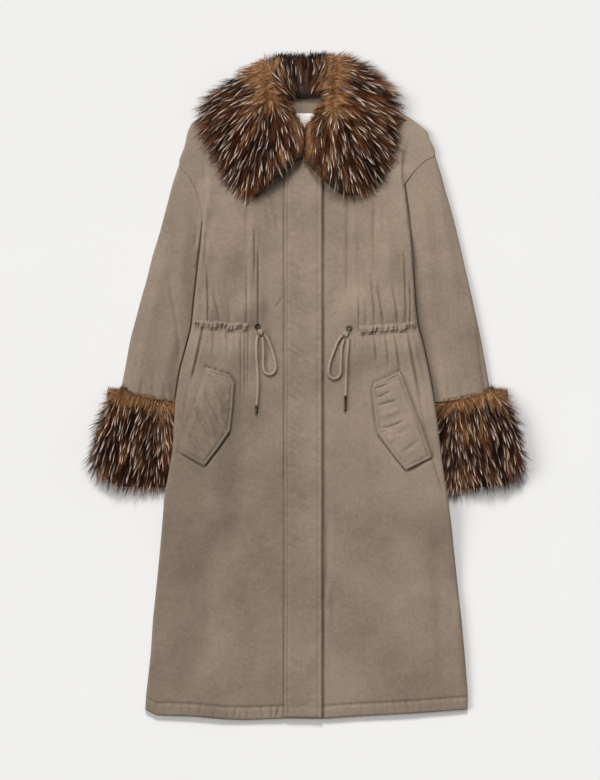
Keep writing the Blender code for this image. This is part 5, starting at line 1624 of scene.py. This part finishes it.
class HeightMap:
    """Top and bottom heights of CAD nodes over a grid of places."""

    STEP = 0.0018
    MARGIN = 0.006

    def __init__(self, *nodes):
        tree = surface_of(*(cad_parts[node] for node in nodes))
        self.low = np.min([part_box(node)[0] for node in nodes], axis=0)
        self.high = np.max([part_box(node)[1] for node in nodes], axis=0)
        self.xs, self.ys = (np.arange(self.low[axis] - self.MARGIN, self.high[axis] + self.MARGIN, self.STEP)
                            for axis in (0, 1))
        self.top = np.zeros((len(self.xs), len(self.ys)))
        self.bottom = np.zeros((len(self.xs), len(self.ys)))
        for i, x in enumerate(self.xs):
            for j, y in enumerate(self.ys):
                hit = tree.ray_cast(Vector((x, y, 0.3)), Vector((0.0, 0.0, -1.0)))[0]
                if hit is not None:
                    self.top[i, j] = hit.z
                    self.bottom[i, j] = tree.ray_cast(Vector((x, y, -0.1)), Vector((0.0, 0.0, 1.0)))[0].z
        self.covered = (self.top > 0.0).astype(float)
        self.slope = np.gradient(blurred_grid(self.covered, 3), self.STEP)

    def at(self, values, x, y):
        """Values of the grid between its places."""
        u = np.clip((x - self.xs[0]) / self.STEP, 0.0, len(self.xs) - 1.001)
        v = np.clip((y - self.ys[0]) / self.STEP, 0.0, len(self.ys) - 1.001)
        i, j = u.astype(int), v.astype(int)
        a, b = u - i, v - j
        low = values[i, j] * (1 - a) + values[i + 1, j] * a
        return low * (1 - b) + (values[i, j + 1] * (1 - a) + values[i + 1, j + 1] * a) * b

    def level(self, x, y, share):
        """Heights at a share of the way from bottom to top."""
        low = self.at(self.bottom, x, y)
        return low + (self.at(self.top, x, y) - low) * share

    def outward(self, x, y):
        """Directions out of the nodes at places, of length 1 at their border and shorter further in."""
        return np.stack([self.at(slope, x, y) for slope in self.slope], axis=-1) * -0.0135

    def inside(self, x, y):
        """Whether places lie over the nodes."""
        return self.at(self.covered, x, y) > 0.5


def flow(x, y, sources):
    """Direction in which hairs lie at view points, and the distance from the nearest source line."""
    total = np.zeros((len(x), 2))
    nearest = np.full(len(x), 1e9)
    for start, end, strength in sources:
        away = np.stack(off_segment(x, y, start, end), axis=-1)
        distance = np.linalg.norm(away, axis=1) + 0.01
        total += strength * away / distance[:, None] / (distance[:, None] + 3.0) ** 2
        nearest = np.minimum(nearest, distance)
    return total / (np.linalg.norm(total, axis=1)[:, None] + 1e-9), nearest


def strand_mesh(root, middle, tip, width, rings):
    """Points and faces of tapered three-sided strands along bent lines."""
    points = []
    up = np.array([0.0, 0.0, 1.0])
    for along, size in rings:
        place = (1 - along) ** 2 * root + 2 * along * (1 - along) * middle + along ** 2 * tip
        heading = (1 - along) * (middle - root) + along * (tip - middle)
        side = np.cross(heading, up)
        side /= np.linalg.norm(side, axis=1)[:, None] + 1e-12
        over = np.cross(side, heading)
        over /= np.linalg.norm(over, axis=1)[:, None] + 1e-12
        for turn in range(3):
            angle = math.pi * (0.5 + turn * 2.0 / 3.0)
            out = math.cos(angle) * side + 0.8 * math.sin(angle) * over
            points.append(place + (size * width)[:, None] * out)
    points.append(tip)
    points = np.stack(points, axis=1)
    start = (np.arange(len(root)) * points.shape[1])[:, None, None]
    last = 3 * len(rings) - 3
    quads = [(ring + turn, ring + (turn + 1) % 3, ring + 3 + (turn + 1) % 3, ring + 3 + turn)
             for ring in range(0, last, 3) for turn in range(3)]
    ends = [(last + turn, last + (turn + 1) % 3, last + 3) for turn in range(3)] + [(2, 1, 0)]
    blocks = [(start + np.array(quads)).reshape(-1, 4), (start + np.array(ends)).reshape(-1, 3)]
    return points.reshape(-1, 3), blocks


def on_collar(node):
    """Whether a node of fur is half of the collar."""
    return node.startswith("collar")


def lock_tips(field, node, count, rng):
    """Seeded, evenly spread places for the tips of locks, over the part of a node that shows."""
    reach = field.high - field.low
    step = math.sqrt(reach[0] * reach[1] / (1.9 * count))
    x, y = np.meshgrid(*(np.arange(field.low[axis], field.high[axis], step) for axis in (0, 1)))
    x = x.ravel() + rng.uniform(-0.5, 0.5, x.size) * step
    y = y.ravel() + rng.uniform(-0.5, 0.5, y.size) * step
    keep = field.inside(x, y)
    if not on_collar(node):
        keep &= uncovered(np.stack(view_of(x, y), axis=-1), node[5:]) > -0.010
    picks = rng.permutation(np.flatnonzero(keep))[:count]
    return x[picks], y[picks]


def crown_tips(field, hide, count, rng):
    """Seeded places round the lines that the golden hairs lie away from."""
    picks = rng.integers(0, len(hide.crowns), count)
    ends = np.array([crown[:2] for crown in hide.crowns], dtype=float)[picks]
    along = rng.random(count)[:, None]
    view = ends[:, 0] * (1.0 - along) + ends[:, 1] * along + rng.normal(0.0, 8.0, (count, 2))
    x, y = plan_of(view[:, 0], view[:, 1])
    keep = field.inside(x, y)
    return x[keep], y[keep]


NECK_TIPS = {
    "collar_right": ((293.5, 109.0), (304.0, 126.0), (305.5, 164.0)),
    "collar_left": ((316.0, 108.0), (306.0, 126.0), (303.5, 166.0)),
}
NECK_MIDDLE_X = 304.0
BACK_NECK_Y = 92.0          # the collar's hairs are painted darker above it, for the shade behind the neck
COLLAR_CROWN_REACH = 16.0
CUFF_CROWN_REACH = 10.0


def neck_tips(node, count, rng):
    """Seeded places beside the neck's label and under it, where hairs of both halves of the collar end."""
    line = np.array(NECK_TIPS[node])
    share = rng.random(count) * 2.0
    x = np.interp(share, (0.0, 1.0, 2.0), line[:, 0]) + rng.normal(0.0, 0.9 + 0.9 * (share > 1.0), count)
    y = np.interp(share, (0.0, 1.0, 2.0), line[:, 1]) + rng.normal(0.0, 0.9, count)
    return plan_of(x, y)


def nearness(x, y, hide, node):
    """How close view points are to the golden crowns; on the collar these end soon towards centre back."""
    away, distance = flow(x, y, hide.crowns)
    if not on_collar(node):
        return ridge(distance, CUFF_CROWN_REACH)
    inner = away[:, 0] if node == "collar_right" else -away[:, 0]
    distance = distance * (1.0 + 1.3 * smooth(inner * 2.0) * smooth((104.0 - y) / 12.0))
    centre = 0.52 * ridge(x - NECK_MIDDLE_X, 10.0) * smooth((y - BACK_NECK_Y) / 16.0)
    return np.maximum(ridge(distance, COLLAR_CROWN_REACH), centre)


def back_painted_shade(x, y, node):
    """How far view points lie in the shade behind the neck, painted into the collar's hairs as darker colour
    kinds.
    """
    dark = smooth((x - 272.0) / 8.0) * smooth((332.0 - x) / 6.0) * smooth((BACK_NECK_Y - y) / 12.0)
    return dark if on_collar(node) else 0.0 * x


def lock_kinds(layer, near, dark, streak, patch, rng):
    """Colour kind of each lock, by its layer and place."""
    # dark is the painted shade behind the neck: there fewer guard hairs are pale and locks take darker kinds
    draw = rng.random(len(near))
    if layer == "guard":
        pale = 0.84 - 0.95 * near - 0.42 * dark + 0.25 * patch
        return np.where(draw < pale, KINDS["pale"], np.where(near > 0.35, KINDS["tan"], KINDS["grey"]))
    if layer == "neck":
        return np.where(draw < 0.3, KINDS["tan"], np.where(draw < 0.7, KINDS["ginger"], KINDS["rust"]))
    if layer == "crown":
        return np.where(draw < 0.62, KINDS["tan"], KINDS["ginger"])
    level = 0.55 * streak + 0.42 * patch + 1.15 * near - 0.5 * dark + rng.normal(0.0, 0.24, len(near))
    kinds = [KINDS[word] for word in ("tan", "ginger", "rust", "dark")]
    return np.select([level > 0.66, level > 0.34, level > -0.06, level > -0.76], kinds, KINDS["grey"])


def lock_places(node, name, field, rng):
    """Seeded places of the locks of one layer."""
    hide, locks = HIDES[node], LAYERS[name].locks
    locks = int(locks * (0.5 + 0.5 * hide.scale if name == "guard" else hide.scale))
    if name == "crown":
        return crown_tips(field, hide, locks if on_collar(node) else locks // 2, rng)
    if name == "neck":
        return neck_tips(node, locks, rng)
    return lock_tips(field, node, locks, rng)


def heading_of(angle):
    """Directions of length 1 at angles."""
    return np.stack([np.cos(angle), np.sin(angle)], axis=-1)


def build_layer(node, name, field, border, rng):
    """Root, middle and tip points, widths and colours of the strands of one layer."""
    hide, layer = HIDES[node], LAYERS[name]
    x, y = lock_places(node, name, field, rng)
    view_x, view_y = view_of(x, y)
    lie, nearest = flow(view_x, view_y, hide.sources)
    near = nearness(view_x, view_y, hide, node)
    out = border.outward(x, y)
    bent = np.stack([lie[:, 0], -lie[:, 1]], axis=-1) + BORDER_PULL * out
    angle = np.arctan2(bent[:, 1], bent[:, 0])
    angle += 0.20 * noise(view_x, view_y, 13.0, hide.seed) + 0.12 * noise(view_x, view_y, 6.0, hide.seed + 1)
    angle += rng.normal(0.0, layer.wander, len(x))
    across = view_x * lie[:, 1] - view_y * lie[:, 0]
    streak = noise(across / 3.2, (view_x * lie[:, 0] + view_y * lie[:, 1]) / 20.0, 1.0, hide.seed + 2)
    patch = noise(view_x, view_y, 15.0, hide.seed + 3)
    kind = lock_kinds(name, near, back_painted_shade(view_x, view_y, node), streak, patch, rng)
    tone = rng.uniform(0.42 if name == "guard" else 0.62, 1.3, len(x))
    reach = (1.0 if on_collar(node) else 0.86) * nearest * PIXEL + 0.004
    size = np.minimum(hide.length * rng.uniform(*layer.length, len(x)), reach)
    pick = np.repeat(np.arange(len(x)), layer.strands)
    count = len(pick)
    base = np.stack([x, y], axis=-1)[pick]
    heading = heading_of(angle)[pick]
    lie_heading = heading_of(np.arctan2(-lie[:, 1], lie[:, 0]))[pick]
    rim = np.linalg.norm(out, axis=1)
    spill = rng.uniform(*SPILL, len(x)) * np.clip(nearest / 14.0, 0.3, 1.0) * (1.0 + 0.6 * rim)
    spill = spill[pick, None]
    if name == "neck":
        spill = 0.1 * spill
    tip = base + heading * spill + rng.normal(0.0, layer.tip_spread, (2, count)).T
    length = size[pick, None] * rng.uniform(0.85, 1.0, (count, 1)) + np.maximum(spill, 0.0)
    middle = tip - heading * length * 0.5
    root = middle - lie_heading * length * 0.5 + rng.normal(0.0, layer.root_spread, (2, count)).T
    height = rng.uniform(*layer.height, len(x))[pick]
    tip_height = height * rng.uniform(0.92, 1.02, len(x))[pick]
    held = root if name == "neck" else base
    parts = []
    for places, share in ((root, PELT_SHARE), (middle, height * 1.02), (tip, tip_height)):
        back = np.zeros((count, 1))
        for step in np.linspace(0.05, 0.95, 10):
            back[~field.inside(*(places + (held - places) * back).T)] = step
        level = field.level(*(places + (held - places) * back).T, share)
        parts.append(np.column_stack([places, np.maximum(level, HAIR_CLEAR)]))
    parts[1][:, :2] += rng.normal(0.0, 0.0012, (count, 2))
    width = rng.uniform(*layer.width, count)
    palette = np.array(list(STRAND_COLOURS.values())) * WARMTH
    if name == "guard":
        palette = palette / WARMTH * GUARD_WARMTH
    tones = (tone[pick] * rng.uniform(0.88, 1.12, count))[:, None, None]
    return *parts, width, SHADES[node[:4]] * palette[kind[pick]] * tones


BRIM = {"cuff_right": ((106, 389), (172, 402)), "cuff_left": ((443, 402), (509, 389))}


def brim_layer(node, field, sleeve, rng):
    """Short hairs combed up and aside over the sleeve's end, so that the cuff's brim is soft."""
    start, end = np.array(BRIM[node], dtype=float)
    count = LAYERS["brim"].locks
    share = rng.random(count)[:, None]
    lean = rng.normal(0.0, 0.75, count)
    size = rng.uniform(5.0, 9.5, count)[:, None]
    tip = start + (end - start) * share
    tip[:, 1] -= rng.uniform(-3.0, 4.0, count)
    root = tip + np.stack([-np.sin(lean), np.cos(lean)], axis=-1) * size
    bend = 0.5 * (root + tip) + rng.normal(0.0, 0.5, (count, 2))
    parts = []
    for places, share in ((root, PELT_SHARE), (bend, 0.95), (tip, 0.86)):
        x, y = plan_of(*places.T)
        hold = y.copy()
        for _ in range(10):
            hold = np.where(field.inside(x, hold), hold, hold - 0.0014)
        level = field.level(x, hold, share)
        if places is not root:
            level = np.maximum(level, height_on(sleeve, *places.T, 0.0) + HAIR_CLEAR)
        parts.append(np.stack([x, y, level], axis=-1))
    kind = rng.choice(["tan", "ginger", "rust"], count, p=[0.4, 0.4, 0.2])
    tones = rng.uniform(0.40, 0.95, count)[:, None, None]
    tint = np.array([STRAND_COLOURS[word] for word in kind]) * WARMTH * tones
    keep = field.inside(parts[0][:, 0], parts[0][:, 1])
    root, bend, tip = (points[keep] for points in parts)
    return root, bend, tip, rng.uniform(*LAYERS["brim"].width, keep.sum()), tint[keep]


def build_strands(node, sleeve):
    """The long hairs of a collar half or cuff, in overlapping locks."""
    field = HeightMap(node)
    border = HeightMap("collar_right", "collar_left") if on_collar(node) else field
    rng = np.random.default_rng(HIDES[node].seed)
    points, quads, ends, tints = np.zeros((0, 3)), [], [], []
    for name in LAYERS:
        if name == ("brim" if on_collar(node) else "neck"):
            continue
        if name == "brim":
            *parts, tint = brim_layer(node, field, sleeve, rng)
        else:
            *parts, tint = build_layer(node, name, field, border, rng)
        rings, stops = GUARD_RINGS if name == "guard" else HAIR_RINGS
        strands, (sides, caps) = strand_mesh(*parts, rings)
        quads.append(sides + len(points))
        ends.append(caps + len(points))
        points = np.concatenate([points, strands])
        tint = [0.5 * (tint[:, math.floor(stop)] + tint[:, math.ceil(stop)]) for stop in stops]
        tints.append(np.repeat(np.stack(tint, axis=1), (3,) * len(rings) + (1,), axis=1).reshape(-1, 3))
    blocks = [np.concatenate(quads), np.concatenate(ends)]
    piece = add_piece("parka_%s_hair" % node, points, blocks, hair, "fur")
    tint = np.concatenate(tints)
    rgba = np.concatenate([np.clip(tint, 0.0, 0.95), np.ones((len(tint), 1))], axis=-1)
    layer = piece.data.color_attributes.new("tint", "FLOAT_COLOR", "POINT")
    layer.data.foreach_set("color", rgba.astype(np.float32).ravel())
    return piece


def build_collar_pelt(side):
    """The dense underfur and skin of half the collar, lying on the coat."""
    along = np.linspace(0.0, 1.0, 40) ** 1.15
    loft_share = np.interp(along, column(COLLAR_PROFILE, "along"), column(COLLAR_PROFILE, "loft"))
    loft_share = np.clip(blurred(loft_share, 2), 0.06, 1.0)
    rings = []
    for row in map(CollarRow._make, between_keys(COLLARS[side], 4)[:-1]):
        width = math.hypot(row.outer_x - row.neck_x, row.outer_y - row.neck_y)
        reach = along * (1.0 - min(max(PELT_INSET / width, 0.10), 0.55))
        x = row.neck_x + (row.outer_x - row.neck_x) * reach
        y = row.neck_y + (row.outer_y - row.neck_y) * reach
        seat = NECK_SEAT + (collar_seat(x) - NECK_SEAT) * np.clip(row.climb, 0.0, 1.0)
        past = smooth((reach - row.rest) / max(1.0 - row.rest, 0.01))
        under = seat + (COLLAR_FLOOR - seat) * past
        tuft = 1.0 + 0.12 * noise(x, y, TUFT_SIZE, COLLAR_SEED)
        over = under + PELT_SHARE * COLLAR_LOFT * loft_share * row.loft * tuft
        rings.append(np.concatenate([metres(x, y, over), metres(x, y, under)[::-1]]))
    return add_piece("parka_collar_" + side, *solid(np.array(rings)), pelt, "fur", "collar_" + side)


def cuff_section(row, count, rim):
    """View points across a flattened cuff, close together at its rims, and distances from them."""
    length = np.linalg.norm(row[2:4] - row[:2]) * PIXEL
    steps = rim * TUBE_RIM_PLACES
    middle = np.linspace(rim, length - rim, count - 2 * len(steps) + 2)[1:-1]
    distance = np.concatenate([steps, middle, length - steps[::-1]])
    return bowed(row, distance / length), distance, length - distance


CUFF_MIDDLE_Y = 430.0
CUFF_DRAWN_IN = 0.09        # the underfur stops short of the hand opening
TUFT_SIZE = 6.0
COLLAR_SEED = 211
CUFF_SEED = 212


def build_cuff_pelt(side):
    """The dense underfur and skin of a cuff, a thick flattened tube."""
    outer_rings, inner_rings = [], []
    core = 0.6 * CUFF_CORE
    for row in between_keys(CUFFS[side], 6):
        row[0] += (row[2] - row[0]) * (0.08 + 0.10 * max(1.0 - (row[1] - 384.0) / 16.0, 0.0))
        for end in (1, 3):
            row[end] -= CUFF_DRAWN_IN * max(row[end] - CUFF_MIDDLE_Y, 0.0)
        points, from_outer, from_inner = cuff_section(row, 48, CUFF_RIM)
        peak = CUFF_PRESSED + (CUFF_PEAK - CUFF_PRESSED) * min(max(row[5], 0.0), 1.0)
        free = smooth((uncovered(points, side) - CUFF_SHELF) / CUFF_SLOPE)
        tuft = 1.0 + 0.10 * noise(points[:, 0], points[:, 1], TUFT_SIZE, CUFF_SEED)
        height = (CUFF_PRESSED + (peak - CUFF_PRESSED) * free) * PELT_SHARE * tuft
        rim = rounded(np.minimum(from_outer, from_inner), CUFF_RIM)
        over = core + (np.maximum(height, core + 0.003) - core) * rim
        outer_rings.append(flat_ring(points, over, core * (1.0 - rim)))
        inner_rings.append(slit_ring(points, core, CUFF_SLIT, 8))
    mesh = tube(np.array(outer_rings), np.array(inner_rings))
    return add_piece("parka_cuff_" + side, *mesh, pelt, "fur", "cuff_" + side)


# Camera, light and floor

VIEW_CENTRE = (300.0, 390.0)
VIEW_HEIGHT = 780.0
CAMERA_DISTANCE = 5.0
CAMERA_PLANE = 0.015
SENSOR = 36.0
FLOOR_REACH = 30.0
FLOOR_GAP = 0.0005
LAMP_COLOUR = (1.0, 0.985, 0.965)
LAMP_DISTANCE = 2.5
FILL_COLOUR = (0.97, 0.985, 1.0, 1.0)
FILL_STRENGTH = 0.22
LAMPS = (
    ("top_softbox", 14.0, 2.32, (0.10, -1.0, -1.0)),
    ("side_softbox", 36.0, 1.62, (1.05, -0.10, -1.0)),
)


def build_stage():
    """Camera straight above, a wide soft light from the collar's side, an even fill and a pale floor."""
    scene = bpy.context.scene
    data = bpy.data.cameras.new("camera")
    data.sensor_width = SENSOR
    data.lens = SENSOR * CAMERA_DISTANCE / (VIEW_HEIGHT * PIXEL)
    data.clip_end = 60.0
    scene.camera = link_object("camera", data)
    scene.camera.location = metres(*np.array(VIEW_CENTRE), CAMERA_PLANE + CAMERA_DISTANCE)
    for name, angle, energy, heading in LAMPS:
        lamp = bpy.data.lights.new(name, "SUN")
        lamp.angle = math.radians(angle)
        lamp.energy = energy
        lamp.color = LAMP_COLOUR
        softbox = link_object(name, lamp)
        softbox.rotation_euler = Vector(heading).to_track_quat("-Z", "Y").to_euler()
        softbox.location = Vector(heading) * -LAMP_DISTANCE
    scene.world = bpy.data.worlds.new("studio")
    scene.world.use_nodes = True
    set_inputs(scene.world.node_tree.nodes["Background"], Color=FILL_COLOUR, Strength=FILL_STRENGTH)
    mesh = bpy.data.meshes.new("floor")
    corners = [(-1, -1), (1, -1), (1, 1), (-1, 1)]
    mesh.from_pydata([(FLOOR_REACH * x, FLOOR_REACH * y, 0) for x, y in corners], [], [(0, 1, 2, 3)])
    mesh.materials.append(floor_surface())
    floor = link_object("floor", mesh)
    floor.location = (0.0, 0.0, -FLOOR_GAP)
    scene.view_settings.view_transform = "Standard"
    scene.view_settings.look = "None"


build_stage()
shell = cloth_surface("taupe_twill", (0.203, 0.156, 0.117), (0.304, 0.237, 0.181))
braid = cloth_surface("taupe_cord", (0.27, 0.212, 0.158), (0.40, 0.325, 0.245), weave=700.0)
thread = cloth_surface("taupe_thread", (0.25, 0.195, 0.145), (0.37, 0.30, 0.225), weave=1500.0)
tape = cloth_surface("white_tape", (0.84, 0.81, 0.77), (0.93, 0.90, 0.86), weave=600.0)
bronze = metal_surface()
hair = fur_surface()
pelt = pelt_surface()

back = build_back()
fronts = {side: build_front(side) for side in SIDES}
fronts_tree = surface_of(*fronts.values())
for wearer_side in SIDES:
    build_cord(wearer_side, fronts_tree)
placket = build_placket(fronts_tree)
facing, label = build_neck()
sleeves = {side: build_sleeve(side) for side in SIDES}
casings = {side: build_casing(side, fronts_tree) for side in SIDES}
flaps = {side: build_flap(side, fronts_tree) for side in SIDES}

stitches = {
    "placket": add_stitches("parka_placket_stitches",
                            [[(x, top), (x, 716.0)] for x, top in zip(PLACKET_STITCHES, (168.0, 186.0))],
                            placket),
}
for wearer_side, ends in zip(SIDES, HEM_STITCH_ENDS):
    piece_name = "front_" + wearer_side
    rows = [hem_line(*ends)] + [armhole_line(wearer_side, inset) for inset in ARMHOLE_STITCHES]
    stitches[piece_name] = add_stitches("parka_%s_stitches" % piece_name, rows, fronts[wearer_side])
for wearer_side in SIDES:
    piece_name = "flap_" + wearer_side
    rows = [flap_line(wearer_side)]
    stitches[piece_name] = add_stitches("parka_%s_stitches" % piece_name, rows, flaps[wearer_side])

for wearer_side in SIDES:
    build_collar_pelt(wearer_side)
    build_cuff_pelt(wearer_side)
furs = {node: build_strands(node, surface_of(sleeves[node.split("_")[1]])) for node in HIDES}
